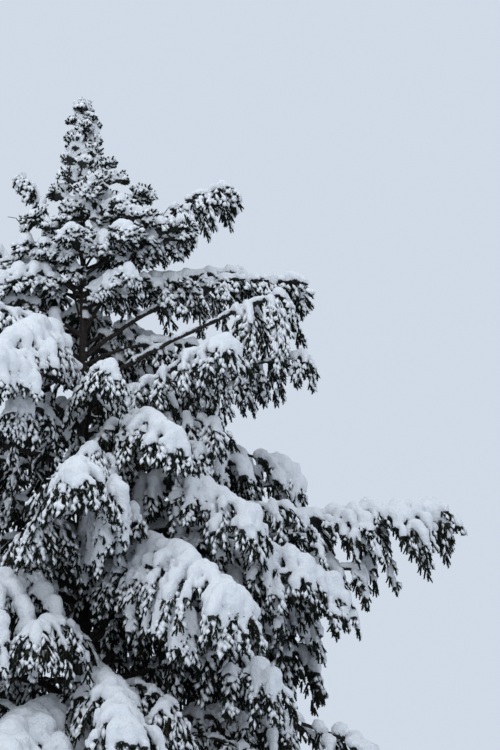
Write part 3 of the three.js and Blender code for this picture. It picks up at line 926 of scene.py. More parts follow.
# where on its bough the first one of an inner bough stands, and where the last one of any bough does
FIRST_INNER_TWIG = 0.16
LAST_BRANCHLET = 0.985
SHORT_OF_TIP = 0.025  # the low boughs end this much sooner, for each unit by which they are coarser
TIP_CROWDING = 1.3  # above 1, they stand closer together towards the tip
PLACE_SPREAD = 0.35  # share of the step between two
REACH_SPREAD = (0.6, 1.0)
HANG_SPREAD = (0.3, 0.8)
STIFF_HANG = -0.25  # below nothing, because the stiff ones of the spire rise
# how wide and how deep a bough's drapes are, from its first branchlet to its tip
ALONG_BOUGH = (0.0, 0.3, 0.75, 1.0)
WIDTH_ALONG = (0.6, 1.0, 0.85, 0.45)
HANG_ALONG = (0.7, 1.0, 0.85, 0.4)
# the three short ones that close a bough's end
TIP_FAN = 0.5
TIP_REACH = dict(share=0.25, extra=0.03)
TIP_HANG = 0.3
TIP_BACK = 0.015
# boughs whose branchlets stand closer, and boughs whose drapes hang more or less
FINER = {"right_top": 0.55, "left_leader": 0.7, "right_upper": 0.75, "right_limb": 0.8, "right_long": 0.8}
HANG_MORE = {
    "right_upper": 0.7,
    "right_limb": 1.9,
    "right_shoulder": 1.25,
    "right_lower": 1.05,
    "right_skirt": 1.3,
    "inner_right_7": 0.7,
    "inner_drape_2": 1.6,
    "inner_right_21": 0.55,
    "fore_right_upper": 0.72,
    "fore_left": 1.25,
}
print("a pair of branchlets about every", BRANCHLET_STEP, "m of a long bough")

# %% Grow the branchlets


def branchlet_beside(bough, t, s, hand, step, last):
    """One at t along its bough, which is s along the leafy part, on the side that hand gives."""
    draw = bough.random
    stiff = stiffness(bough.root)
    opening = BRANCHLET_ANGLE * (1 - BRANCHLET_CLOSING * s) + draw.uniform(-ANGLE_SPREAD, ANGLE_SPREAD)
    opening = math.radians(opening)
    roll = stiff * math.radians(draw.uniform(-MOST_ROLL, MOST_ROLL))
    aside = math.cos(roll) * hand * bough.side(t) + math.sin(roll) * bough.above(t)
    out = math.cos(opening) * bough.forward(t) + math.sin(opening) * aside
    reach = bough.half_width * np.interp(s, ALONG_BOUGH, WIDTH_ALONG) * draw.uniform(*REACH_SPREAD)
    hang = bough.drop * HANG_MORE.get(bough.name, 1.0) * np.interp(s, ALONG_BOUGH, HANG_ALONG)
    hang *= draw.uniform(*HANG_SPREAD)
    hang *= between(1.0, STIFF_HANG, stiff)
    along = min(last, t + draw.uniform(-PLACE_SPREAD, PLACE_SPREAD) * step)
    return Branchlet(bough, bough.point(along), out, reach, hang)


def branchlet_at_tip(bough, turn, last):
    out = unit(bough.forward(1.0) + TIP_FAN * turn * bough.side(1.0))
    hang = TIP_HANG * bough.drop * (1 - stiffness(bough.root))
    return Branchlet(bough, bough.point(last - TIP_BACK), out, by_size(bough.half_width, **TIP_REACH), hang)


def grow_branchlets(bough):
    coarse = coarseness(bough)
    closer = min(1.0, SHORT_SHARE + bough.reach / SHORT_REACH)
    step = BRANCHLET_STEP * closer * math.sqrt(coarse) / bough.reach * FINER.get(bough.name, 1.0)
    start = max(bough.bare, FIRST_INNER_TWIG) if bough.name.startswith("inner") else bough.leafy
    last = LAST_BRANCHLET - SHORT_OF_TIP * (coarse - 1)
    count = max(FEWEST_BRANCHLETS, round((last - start) / step))
    grown = []
    for u in (np.arange(count) + 0.5) / count:
        t = start + (last - start) * (1 - (1 - u) ** TIP_CROWDING)
        s = (t - start) / (1 - start)
        grown += [branchlet_beside(bough, t, s, hand, step, last) for hand in (-1, 1)]
    return grown + [branchlet_at_tip(bough, turn, last) for turn in (-1, 0, 1)]


BRANCHLETS = [branchlet for bough in BOUGHS for branchlet in grow_branchlets(bough)]
print(len(BRANCHLETS), "branchlets,", round(sum(b.arc for b in BRANCHLETS)), "m in all")

# %% Branchlets as tubes
# at its root, by the radius of its limb, which is taken at one place for all of a bough's branchlets
BRANCHLET_RADIUS = dict(share=0.35, extra=0.005, most=0.011)
LIMB_RADIUS_AT = 0.8
BRANCHLET_TIP_RADIUS = 0.003
DEAD_TWIG_RADII = (0.009, 0.004)


def branchlet_path(branchlet):
    limb_radius = float(branchlet.bough.limb_radius(LIMB_RADIUS_AT))
    root = by_size(limb_radius, **BRANCHLET_RADIUS)
    return branchlet.points, np.linspace(root, BRANCHLET_TIP_RADIUS, BRANCHLET_POINTS)


# a few dead twigs without needles stand out against the sky and the snow
DEAD_TWIGS = (
    ((0.20, 0.05, 13.32), (0.33, 0.05, 13.45), (0.41, 0.05, 13.60), (0.43, 0.05, 13.82), (0.41, 0.05, 14.06)),
    ((0.30, 0.05, 13.30), (0.47, 0.05, 13.63), (0.51, 0.05, 13.84), (0.46, 0.05, 14.03)),
    ((0.72, 0.05, 14.05), (0.80, 0.05, 14.20), (0.85, 0.05, 14.31), (0.93, 0.05, 14.43)),
    ((-0.70, 0.0, 13.70), (-0.85, 0.0, 13.88), (-0.97, 0.0, 14.09), (-1.08, 0.0, 14.23), (-1.19, 0.0, 14.25)),
)
dead_paths = [(np.array(points), np.linspace(*DEAD_TWIG_RADII, len(points))) for points in DEAD_TWIGS]
piece = tubes("branchlets", [branchlet_path(b) for b in BRANCHLETS] + dead_paths, 0, TWIG)
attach(piece, "root")
print(piece.name, triangles(piece.data), "triangles")

# %% Grow the fine twigs
TWIG_STEP = 0.09
FEWEST_TWIGS = 3
TWIG_LENGTH = (0.30, 0.13)  # at the branchlet's root and at its tip
SHORT_TWIGS = dict(share=1.0, extra=0.35, most=1.0)  # the share of that on short branchlets, by their length
LENGTH_SPREAD = (0.7, 1.2)
PLACE_IN_STEP = (0.2, 0.8)
TWIG_TURN = (-35, 50)  # degrees out of the drape's plane
# how much a twig runs on with its branchlet, to the side and downwards: on a hanging one, on a stiff one
TWIG_ONWARD = 0.6
TWIG_ASIDE = (0.5, 0.75)
TWIG_DOWN = (0.75, -0.45)
# what is kept of each twig; out is its branchlet's direction, and place how far along that it stands
TWIG_COLUMNS = ("start", "along", "length", "out", "branchlet", "place", "height", "coarse")


def twigs_on(branchlet, number):
    """The twigs of one branchlet, each a row in the order of TWIG_COLUMNS."""
    bough = branchlet.bough
    draw = branchlet.random
    stiff = stiffness(bough.root)
    coarse = coarseness(bough)
    count = max(FEWEST_TWIGS, int(branchlet.arc / (TWIG_STEP * coarse)))
    places = (np.arange(count) + draw.uniform(*PLACE_IN_STEP, count)) / count
    starts = branchlet.at(places)
    runs = branchlet.run(places)
    small = by_size(branchlet.arc, **SHORT_TWIGS)
    rows = []
    for k, u in enumerate(places):
        outer = np.cross(branchlet.across, runs[k])
        turn = math.radians(draw.uniform(*TWIG_TURN))
        away = math.cos(turn) * (1 if k % 2 else -1) * branchlet.across + math.sin(turn) * outer
        along = TWIG_ONWARD * runs[k] + between(*TWIG_ASIDE, stiff) * away - UP * between(*TWIG_DOWN, stiff)
        length = between(*TWIG_LENGTH, u) * draw.uniform(*LENGTH_SPREAD) * coarse * small
        length *= slender(starts[k][2])
        rows.append((starts[k], unit(along), length, branchlet.out, number, u, bough.root, coarse))
    end = branchlet.points[-1]
    length = TWIG_LENGTH[1] * coarse * small
    rows.append((end, branchlet.run(1.0), length, branchlet.out, number, 1.0, bough.root, coarse))
    return rows


twig_rows = [row for number, branchlet in enumerate(BRANCHLETS) for row in twigs_on(branchlet, number)]
TWIGS = {name: np.array(column) for name, column in zip(TWIG_COLUMNS, zip(*twig_rows))}
print(len(TWIGS["length"]), "twigs,", round(TWIGS["length"].sum()), "m in all")

# %% [markdown]
# ## Shoots
#
# A twig carries shoots on both sides and one at its tip. There are tens of thousands of them, so they
# aren't grown one by one: numpy works out the first shoot of every twig at once, then the second of
# every twig that is long enough, and so on.

# %% Grow the shoots
SHOOT_SEED = 5
SHOOT_STEP = 0.055
SHOOT_COUNTS = (2, 8)  # the fewest and the most on a twig
SHOOT_LENGTH = (0.152, 0.10)  # at the twig's root and at its tip
YOUNG_SHOOTS = 0.72  # their length on stiff twigs, next to that on hanging ones
SHOOT_TURN = (-45, 60)  # degrees out of the plane of the twig's shoots
SHOOT_ASIDE = (0.55, 0.75)  # on a hanging twig, and on a stiff one
SHOOT_DOWN = (0.5, -0.3)
DRAPE_LEAN = 0.3  # how far a twig's upper side leans towards its branchlet's direction
# the shoot at a twig's tip: its place, and how little it turns to the side and upwards
TIP_SHOOT_PLACE = 0.97
TIP_SHOOT_ASIDE = 0.1
TIP_SHOOT_STRAIGHT = 0.8
PASSED_ON = ("out", "height", "coarse")


def shoots_of(twigs):
    draw = np.random.default_rng(SHOOT_SEED)
    across = unit(np.cross(twigs["along"], UP + DRAPE_LEAN * twigs["out"]))
    upper = np.cross(across, twigs["along"])
    stiff = stiffness(twigs["height"])[:, None]
    asked = twigs["length"] / (SHOOT_STEP * twigs["coarse"])
    count = np.clip(asked.astype(int), *SHOOT_COUNTS)
    parts = []
    for slot in range(SHOOT_COUNTS[1] + 1):
        mine = np.flatnonzero(slot <= count)
        at_tip = slot == count[mine]
        u = np.where(at_tip, TIP_SHOOT_PLACE, (slot + 0.5) / count[mine])
        turn = np.radians(draw.uniform(*SHOOT_TURN, len(mine)))[:, None]
        hand = np.where(slot % 2, 1.0, -1.0) * np.where(at_tip, TIP_SHOOT_ASIDE, 1.0)[:, None]
        rising = np.sin(turn) * upper[mine] * (1 - TIP_SHOOT_STRAIGHT * at_tip[:, None])
        away = np.cos(turn) * hand * across[mine] + rising
        along = twigs["along"][mine] + between(*SHOOT_ASIDE, stiff[mine]) * away
        along -= UP * between(*SHOOT_DOWN, stiff[mine])
        size = between(*SHOOT_LENGTH, u) * draw.uniform(*LENGTH_SPREAD, len(mine)) * twigs["coarse"][mine]
        size *= between(1.0, YOUNG_SHOOTS, stiff[mine][:, 0]) * slender(twigs["start"][mine][:, 2])
        start = twigs["start"][mine] + twigs["along"][mine] * (u * twigs["length"][mine])[:, None]
        parts.append((start, unit(along), size, *(twigs[name][mine] for name in PASSED_ON)))
    names = ("start", "along", "length", *PASSED_ON)
    return {name: np.concatenate(column) for name, column in zip(names, zip(*parts))}


SHOOTS = shoots_of(TWIGS)
print(len(SHOOTS["length"]), "shoots")

# %% [markdown]
# ## Needles
#
# One shoot is a thin stem with needles all round it, each a narrow pointed blade of one face that leans
# forwards. Tens of thousands of shoots can't each be modelled: a few are, with bmesh, and arrays place
# copies of them along the twigs. A shoot is stretched to its length, but not in its thickness, so its
# needles stand off a long one as far as off a short one. Only low in the crown, where shoots are fewer,
# all of a shoot is larger.

# %% A stem, and a twig
TWIG_RADII = (0.005, 0.002)


def stem_along_x(bm, radii):
    """A three-sided stem of length 1 along X."""
    turn = Matrix.Rotation(math.pi / 2, 4, "Y") @ Matrix.Translation((0, 0, 0.5))
    root, tip = radii
    bmesh.ops.create_cone(bm, cap_ends=False, segments=3, radius1=root, radius2=tip, depth=1, matrix=turn)


def arrays_of(bm):
    """The bmesh's points and triangles as arrays; the bmesh is freed."""
    bmesh.ops.triangulate(bm, faces=bm.faces)
    bm.verts.index_update()
    points = np.array([v.co for v in bm.verts])
    faces = np.array([[v.index for v in f.verts] for f in bm.faces])
    bm.free()
    return points, faces


def twig_shape():
    bm = bmesh.new()
    stem_along_x(bm, TWIG_RADII)
    return arrays_of(bm)


TWIG_SHAPE = twig_shape()
print("a twig has", len(TWIG_SHAPE[1]), "faces")

# %% Model the shoots
SHOOT_CORE = (0.019, 0.009)
SHOOT_SHAPE_SEEDS = (1, 2, 3, 4)
NEEDLES_PER_SHOOT = 9
NEEDLE_LENGTH = 0.032
NEEDLE_WIDTH = 0.012
NEEDLE_FORWARD = 0.24
NEEDLE_SLANT = 0.07  # how much farther along the shoot one corner of every other blade is
NEEDLE_ROOT = 0.003
LAST_NEEDLE = 0.96
NEEDLE_TURN = 2.4  # from one needle to the next, in radians
NEEDLE_TURN_SPREAD = 0.3
NEEDLE_SPREAD = (0.8, 1.15)
NEEDLE_SIZES = (1.1, 0.75)  # at the shoot's root and at its tip


def shoot_shape(seed):
    """A shoot of length 1 along X, whose thickness is in metres; its upper side is +Z."""
    draw = np.random.default_rng(seed)
    bm = bmesh.new()
    stem_along_x(bm, SHOOT_CORE)
    for k in range(NEEDLES_PER_SHOOT):
        s = (k + 0.5) / NEEDLES_PER_SHOOT
        angle = NEEDLE_TURN * k + draw.uniform(-NEEDLE_TURN_SPREAD, NEEDLE_TURN_SPREAD)
        radial = Vector((0, math.cos(angle), math.sin(angle)))
        size = draw.uniform(*NEEDLE_SPREAD) * between(*NEEDLE_SIZES, s)
        base = Vector((s * LAST_NEEDLE, 0, 0)) + radial * NEEDLE_ROOT
        point = base + radial * NEEDLE_LENGTH * size + Vector((NEEDLE_FORWARD * size, 0, 0))
        tangent = Vector((0, -radial.z, radial.y))
        slant = Vector((NEEDLE_SLANT, 0, 0)) / 2 if k % 2 else Vector()
        across = tangent * NEEDLE_WIDTH / 2 + slant
        bm.faces.new([bm.verts.new(corner) for corner in (base - across, base + across, point)])
    return arrays_of(bm)


SHOOT_SHAPES = [shoot_shape(seed) for seed in SHOOT_SHAPE_SEEDS]
print("a shoot has", len(SHOOT_SHAPES[0][1]), "faces")

# %% Place many copies of a few shapes
LEAN_OUT = 0.8  # how far the upper side of a shoot leans away from what it hangs from


def shoot_axes(along, out, length, thickness):
    """Rows: along the shoot, to its side, and up, away from what it hangs from."""
    upper = UP + LEAN_OUT * out
    upper = unit(upper - (upper * along).sum(-1, keepdims=True) * along)
    side = np.cross(upper, along)
    return np.stack([along * length[:, None], side * thickness[:, None], upper * thickness[:, None]], 1)


def mesh_of(name, points, faces, face_materials):
    mesh = bpy.data.meshes.new(name)
    mesh.vertices.add(len(points))
    mesh.vertices.foreach_set("co", points.ravel())
    mesh.loops.add(faces.size)
    mesh.loops.foreach_set("vertex_index", faces.ravel())
    mesh.polygons.add(len(faces))
    mesh.polygons.foreach_set("loop_start", np.arange(0, faces.size, 3))
    mesh.polygons.foreach_set("material_index", face_materials)
    mesh.update(calc_edges=True)
    return mesh


def place_many(name, shapes, which, origins, axes, tints, materials):
    """Joins a copy of shapes[which[i]] for every i, at origins[i], along the three rows of axes[i]."""
    point_sets = []
    face_sets = []
    tint_sets = []
    offset = 0
    for index, (points, faces) in enumerate(shapes):
        chosen = np.flatnonzero(which == index)
        placed = origins[chosen][:, None, :] + np.einsum("vk,nkd->nvd", points, axes[chosen])
        shift = offset + np.arange(len(chosen)) * len(points)
        point_sets.append(placed.reshape(-1, 3))
        face_sets.append((faces[None] + shift[:, None, None]).reshape(-1, 3))
        tint_sets.append(np.repeat(tints[chosen], len(faces)))
        offset += len(chosen) * len(points)
    mesh = mesh_of(name, np.concatenate(point_sets), np.concatenate(face_sets), np.concatenate(tint_sets))
    return new_object(name, mesh, materials)


TWIG_AXES = shoot_axes(TWIGS["along"], TWIGS["out"], TWIGS["length"], TWIGS["coarse"])
first = np.zeros(len(TWIG_AXES), int)  # every twig has the first shape and the first material
piece = place_many("fine_twigs", [TWIG_SHAPE], first, TWIGS["start"], TWIG_AXES, first, [TWIG])
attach(piece, "root")
print(piece.name, triangles(piece.data), "triangles")

# %% [markdown]
# ## Tiers
#
# A single mesh of all the needles would be too heavy to handle, so the crown is cut into tiers by the
# height at which a bough leaves the trunk, with about the same number of shoots in each.

# %% Tiers of needles
TIERS = 8
TIER_SEED = 21
NEEDLE_SHARES = (0.36, 0.32, 0.18, 0.14)  # of the four colours

START = SHOOTS["start"]
SHOOT_HEIGHT = SHOOTS["height"]
AXES = shoot_axes(SHOOTS["along"], SHOOTS["out"], SHOOTS["length"], SHOOTS["coarse"])
edges = np.quantile(SHOOT_HEIGHT, np.linspace(0, 1, TIERS + 1))
edges[0] = 0
edges[-1] = HEIGHT
draw = np.random.default_rng(TIER_SEED)
which = draw.integers(0, len(SHOOT_SHAPES), len(START))
tints = draw.choice(len(NEEDLES), len(START), p=NEEDLE_SHARES)


def tier_of(heights):
    return np.clip(np.searchsorted(edges, heights, side="right") - 1, 0, TIERS - 1)


def masses_of(tier):
    """The solid tree's masses of foliage that this tier's needles take the place of."""
    shown = [bough for bough in BOUGHS if not bough.name.startswith("inner")]
    return [bough.name + "_foliage" for bough in shown if tier_of(bough.root) == tier]


shoot_tier = tier_of(SHOOT_HEIGHT)
total_needles = 0
for tier in range(TIERS):
    mine = shoot_tier == tier
    name = f"needles_tier_{tier + 1}"
    piece = place_many(name, SHOOT_SHAPES, which[mine], START[mine], AXES[mine], tints[mine], NEEDLES)
    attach(piece, "root")
    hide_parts(*masses_of(tier))
    count = triangles(piece.data)
    total_needles += count
    print(name, "up to", round(edges[tier + 1], 1), "m:", int(mine.sum()), "shoots,", count, "triangles")
print("needles in all", total_needles, "triangles")

# %% [markdown]
# ## Banks of snow
#
# Snow lies in pillows that flow into each other and droop over the ends of the twigs. The simplest way to
# such a shape is to lay out balls of snow along everything that holds it, turn them into one volume, and
# take that volume's skin. Three geometry nodes do it: the balls are points with a radius, the points
# become a volume, and the volume becomes a mesh. A noise then pushes the skin in and out. The low
# crown, whose shoots are larger, has a coarser skin.

# %% The snow nodes
VOXEL = 0.046
COARSE_VOXEL = 2.0 * VOXEL
SKIN_THRESHOLD = 0.2
SNOW_RELIEF = 0.05
SKIN_LUMPS = {"Scale": 8.0, "Detail": 3.0, "Roughness": 0.6}


def snow_nodes(voxel):
    group = bpy.data.node_groups.new("snow_skin", "GeometryNodeTree")
    group.interface.new_socket("Geometry", in_out="INPUT", socket_type="NodeSocketGeometry")
    group.interface.new_socket("Geometry", in_out="OUTPUT", socket_type="NodeSocketGeometry")
    tree = Tree(group)
    balls = tree.node("NodeGroupInput")
    radius = tree.node("GeometryNodeInputNamedAttribute", {"data_type": "FLOAT"}, {"Name": "radius"})
    points = tree.node("GeometryNodeMeshToPoints", {}, {"Mesh": balls, "Radius": radius})
    size = {"Points": points, "Voxel Size": voxel, "Radius": radius}
    volume = tree.node("GeometryNodePointsToVolume", {"resolution_mode": "VOXEL_SIZE"}, size)
    filled = {"Volume": volume, "Threshold": SKIN_THRESHOLD}
    skin = tree.node("GeometryNodeVolumeToMesh", {"resolution_mode": "GRID"}, filled)
    normal = tree.node("GeometryNodeInputNormal")
    outwards = SNOW_RELIEF * (tree.node("ShaderNodeTexNoise", {}, SKIN_LUMPS) - 0.5)
    push = tree.node("ShaderNodeVectorMath", {"operation": "SCALE"}, {0: normal, "Scale": outwards})
    moved = tree.node("GeometryNodeSetPosition", {}, {"Geometry": skin, "Offset": push})
    smooth = tree.node("GeometryNodeSetShadeSmooth", {}, {"Geometry": moved})
    tree.node("NodeGroupOutput", {}, {"Geometry": smooth})
    return group


FINE_SKIN = snow_nodes(VOXEL)
COARSE_SKIN = snow_nodes(COARSE_VOXEL)
print("a skin takes", len(FINE_SKIN.nodes), "nodes")

# %% The skin of many balls
FACING_DOWN = (-0.85, -0.15)  # the normal's height where snow counts as underside, and where it doesn't


def mark_underside(mesh):
    """Keeps for each vertex how far it faces down, for the undersides' near-black that is partly painted
    shade: 0 on top and on the flanks, 1 right below.
    """
    normals = np.empty(len(mesh.vertices) * 3, np.float32)
    mesh.vertex_normals.foreach_get("vector", normals)
    shares = np.interp(normals[2::3], FACING_DOWN, (1.0, 0.0)).astype(np.float32)
    mesh.attributes.new(UNDERSIDE, "FLOAT", "POINT").data.foreach_set("value", shares)


def skin_of(name, centres, radii, group):
    mesh = bpy.data.meshes.new(name + "_balls")
    mesh.vertices.add(len(centres))
    mesh.vertices.foreach_set("co", np.asarray(centres, float).ravel())
    attribute = mesh.attributes.new("radius", "FLOAT", "POINT")
    attribute.data.foreach_set("value", np.asarray(radii, np.float32))
    maker = bpy.data.objects.new(name + "_balls", mesh)
    bpy.context.scene.collection.objects.link(maker)
    maker.modifiers.new("skin", "NODES").node_group = group
    made = bpy.data.meshes.new_from_object(maker.evaluated_get(bpy.context.evaluated_depsgraph_get()))
    made.name = name
    bpy.data.objects.remove(maker)
    bpy.data.meshes.remove(mesh)
    made.materials.clear()
    mark_underside(made)
    return new_object(name, made, [SNOW])


print("snow begins to count as underside where its normal's height is under", FACING_DOWN[1])

# %% [markdown]
# ## Where the snow lies
#
# Every bough carries a bank along its top, and each branchlet a smaller one that follows it outwards
# and down, and thins out like a finger. The boughs towards the camera carry the smooth, thick mantles of
# the photo. Bare limbs carry a strip, and so does the trunk where it shows. A part of the fine twigs is
# laden too, which closes the mantles.

# %% Runs of balls
SMALLEST_BALL = 0.022  # in the banks
FEWEST_IN_BANK = 4
FEWEST_IN_STRIP = 3
LUMP_SPAN = 5  # how many balls share a lump
LUMP_MARGIN = 4
LUMP_GAIN = 1.9  # the mean over a lump is flatter than its parts, and this makes up for it
# for each kind of run: how uneven it is, and the least and the most of its plain thickness
MANTLE_LUMPS = dict(spread=0.4, least=0.2, most=1.5)
BROKEN_LUMPS = dict(spread=0.85, least=0.2, most=1.5)
LIMB_LUMPS = dict(spread=0.4, least=0.35, most=1.4)
TRUNK_LUMPS = dict(spread=0.7, least=0.2, most=1.5)
TWIG_LUMPS = dict(spread=0.3, least=0.6, most=1.4)


def lumpy(draw, count, spread, least, most):
    """A smooth random run around 1, within two limits."""
    steps = draw.normal(size=count + 2 * LUMP_MARGIN)
    means = np.convolve(steps, np.ones(LUMP_SPAN) / LUMP_SPAN, "same")[LUMP_MARGIN : LUMP_MARGIN + count]
    return np.clip(1 + spread * means * LUMP_GAIN, least, most)


class Balls:
    """The balls of one tier: their centres and their radii, run by run."""

    def __init__(self):
        self.centres = []
        self.radii = []

    def run(self, points, radii, lift, smallest=0.0):
        """Adds a run that rests on a path, raised by a share of each radius; smaller balls are left out."""
        held = radii > smallest
        radii = radii[held] * slender(points[held, 2])
        self.centres.append(points[held] + (UP * lift + windward(points[held])) * radii[:, None])
        self.radii.append(radii)


print("the smallest ball of snow is", SMALLEST_BALL, "m in radius")

# %% Banks and strips
BOUGH_BALL_STEP = 0.04
BOUGH_BANK = dict(share=0.06, extra=0.045)  # its thickness, by the bough's half width
UNEVEN_BANK = 0.75  # how thick the broken banks are, next to the smooth mantles in front
BANK_AT_ENDS = (1.0, 0.6)  # how thick it is at the first twig and at the tip
BLUNTNESS = 6  # the power that keeps a bank full right up to its ends
BLUNT_END = 0.1
BANK_LIFT = 0.55  # share of a ball's radius, as the other lifts are
LIMB_BALL_STEP = 0.03
LIMB_STRIP_START = 0.06
LIMB_STRIP = 0.9  # its thickness, as a share of the limb's radius
THINNEST_LIMB_STRIP = 0.036
ON_LIMB = 0.75  # how far above the limb's middle it lies, in radii of the limb
LIMB_LIFT = 0.2
TRUNK_STRIP = (12.2, 13.7)
TRUNK_STRIP_SIDE = math.radians(-35)
TRUNK_STRIP_SEED = 77
TRUNK_STRIP_BALLS = 60
TRUNK_STRIP_RADIUS = 0.033


def bank_on_bough(bough, balls):
    count = max(FEWEST_IN_BANK, int(bough.reach * (1 - bough.leafy) / BOUGH_BALL_STEP))
    t = np.linspace(bough.leafy, 1.0, count)
    s = (t - bough.leafy) / (1 - bough.leafy)
    width = by_size(bough.half_width, **BOUGH_BANK) * bough.load * (1.0 if bough.smooth else UNEVEN_BANK)
    blunt = np.sqrt(np.clip(1 - (2 * s - 1) ** BLUNTNESS, BLUNT_END, 1))
    lumps = MANTLE_LUMPS if bough.smooth else BROKEN_LUMPS
    radii = width * (between(*BANK_AT_ENDS, s) * blunt) * lumpy(bough.random, count, **lumps)
    balls.run(bough.point(t), radii, BANK_LIFT, SMALLEST_BALL)


def strip_on_limb(bough, balls):
    count = max(FEWEST_IN_STRIP, int(bough.reach * bough.bare / LIMB_BALL_STEP))
    t = np.linspace(LIMB_STRIP_START, bough.bare, count)
    radii = np.maximum(bough.limb_radius(t) * LIMB_STRIP, THINNEST_LIMB_STRIP)
    radii = radii * lumpy(bough.random, count, **LIMB_LUMPS)
    here = bough.point(t) + bough.above(t) * (bough.limb_radius(t) * ON_LIMB)[:, None]
    balls.run(here, radii, LIMB_LIFT)


def strip_on_trunk(balls):
    """Driven snow that sticks to the trunk's side where the trunk shows."""
    draw = np.random.default_rng(TRUNK_STRIP_SEED)
    z = np.linspace(*TRUNK_STRIP, TRUNK_STRIP_BALLS)
    away = np.array([math.cos(TRUNK_STRIP_SIDE), math.sin(TRUNK_STRIP_SIDE), 0.0])
    here = trunk_centre(z) + away * trunk_radius(z)[:, None]
    radii = TRUNK_STRIP_RADIUS * lumpy(draw, TRUNK_STRIP_BALLS, **TRUNK_LUMPS)
    balls.run(here, radii, 0.0, SMALLEST_BALL)


print("the trunk's strip lies from", TRUNK_STRIP[0], "to", TRUNK_STRIP[1], "m")

# %% Banks on the branchlets
BRANCHLET_BALL_STEP = 0.028
BANK_REACH = (0.45, 0.95)
BANK_START = 0.02
BRANCHLET_BANK = dict(share=0.036, extra=0.028)
BRANCHLET_BANK_ENDS = (1.15, 0.65)
# how uneven it is: on a hanging branchlet, and on a stiff one
BRANCHLET_SPREAD = (0.5, 0.9)
BRANCHLET_LEAST = 0.1
BRANCHLET_MOST = (1.5, 1.8)
OUT_OF_DRAPE = 0.6
BRANCHLET_LIFT = 0.1


def bank_on_branchlet(branchlet, balls):
    bough = branchlet.bough
    draw = bough.random
    reach = draw.uniform(*BANK_REACH)
    count = max(FEWEST_IN_BANK, int(branchlet.arc * reach / BRANCHLET_BALL_STEP))
    u = np.linspace(BANK_START, reach, count)
    width = by_size(bough.half_width, **BRANCHLET_BANK) * bough.load
    stiff = stiffness(bough.root)
    spread = between(*BRANCHLET_SPREAD, stiff)
    lumps = lumpy(draw, count, spread, BRANCHLET_LEAST, between(*BRANCHLET_MOST, stiff))
    radii = width * between(*BRANCHLET_BANK_ENDS, u / reach) * lumps
    outer = np.cross(branchlet.across, branchlet.run(u))
    centres = branchlet.at(u) + OUT_OF_DRAPE * outer * radii[:, None]
    balls.run(centres, radii, BRANCHLET_LIFT, SMALLEST_BALL)


print("the banks reach over", BANK_REACH, "of their branchlets")

# %% Snow on the fine twigs
TWIG_BALL_STEP = 0.03
TWIG_ENDS = (0.1, 0.9)
TWIG_BANK = 0.036
STIFF_TWIG_BANK = 0.042
TWIG_LIFT = 0.7
# by a bough's load, how many of its twigs are laden where they start, and how fast that falls outwards
LOAD_STEPS = (0.95, 1.15, 1.35)
LADEN_SHARES = (0.6, 0.95, 1.6)
LADEN_FALL = 1.5
STIFF_LADEN_SHARE = 0.5
# boughs with snow right down their hanging twigs
DRAPED_FALL = 0.7
DRAPED = ("inner_drape", "fore_left", "right_long", "right_shoulder", "right_lower")


def share_of_laden_twigs(bough, place):
    """How many of the fine twigs at this place along a branchlet are under the snow."""
    near = np.interp(bough.load, LOAD_STEPS, LADEN_SHARES)
    fall = DRAPED_FALL if bough.name.startswith(DRAPED) else LADEN_FALL
    return max(near - fall * place, STIFF_LADEN_SHARE * stiffness(bough.root))


def bank_on_twigs(branchlet, number, balls):
    """Heavily laden boughs hold snow on their fine twigs too, which closes the mantle."""
    bough = branchlet.bough
    draw = bough.random
    size = between(TWIG_BANK * bough.load, STIFF_TWIG_BANK, stiffness(bough.root))
    size *= math.sqrt(coarseness(bough))
    for k in np.flatnonzero(TWIGS["branchlet"] == number):
        if draw.random() > share_of_laden_twigs(bough, TWIGS["place"][k]):
            continue
        count = max(FEWEST_IN_STRIP, int(TWIGS["length"][k] / TWIG_BALL_STEP))
        s = np.linspace(*TWIG_ENDS, count)[:, None]
        radii = np.full(count, size) * lumpy(draw, count, **TWIG_LUMPS)
        balls.run(TWIGS["start"][k] + s * TWIGS["along"][k] * TWIGS["length"][k], radii, TWIG_LIFT)


lightest = min(BOUGHS, key=lambda bough: bough.load)
share = round(float(share_of_laden_twigs(lightest, 0)), 2)
print("on", lightest.name, "the share of laden twigs is", share, "where its branchlets start")

# %% Cover each tier
FINE_SKIN_ABOVE = FINE_ABOVE + 0.5  # tiers that end above this height have the fine skin
total_snow = 0
for tier in range(TIERS):
    balls = Balls()
    for bough in BOUGHS:
        if tier_of(bough.root) == tier:
            bank_on_bough(bough, balls)
            if bough.bare:
                strip_on_limb(bough, balls)
    for number, branchlet in enumerate(BRANCHLETS):
        if tier_of(branchlet.bough.root) == tier:
            bank_on_branchlet(branchlet, balls)
            bank_on_twigs(branchlet, number, balls)
    if tier == TIERS - 1:
        strip_on_trunk(balls)
    skin = FINE_SKIN if edges[tier + 1] > FINE_SKIN_ABOVE else COARSE_SKIN
    name = f"snow_tier_{tier + 1}"
    piece = skin_of(name, np.concatenate(balls.centres), np.concatenate(balls.radii), skin)
    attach(piece, "root")
    count = triangles(piece.data)
    total_snow += count
    print(piece.name, sum(map(len, balls.radii)), "balls,", count, "triangles")
print("banks in all", total_snow, "triangles")

# %% [markdown]
# ## Snow on the shoots
#
# Between the banks the hanging shoots hold streaks of snow on their upper sides, most of them on the
# side that the wind came from, and the fine twigs hold clumps. Both give the crown its salt-and-pepper
# look. A squashed, uneven ball of few faces is enough for each, placed by the axes of its shoot or twig.

# %% Model the streaks
STREAK_SEEDS = (11, 12, 13, 14)
STREAK_UNEVEN = (0.75, 1.25)
# half its length, as a share of the shoot, and half its width and height in metres; then its place
STREAK_SIZE = (0.5, 0.024, 0.02)
STREAK_PLACE = (0.46, 0, 0.016)


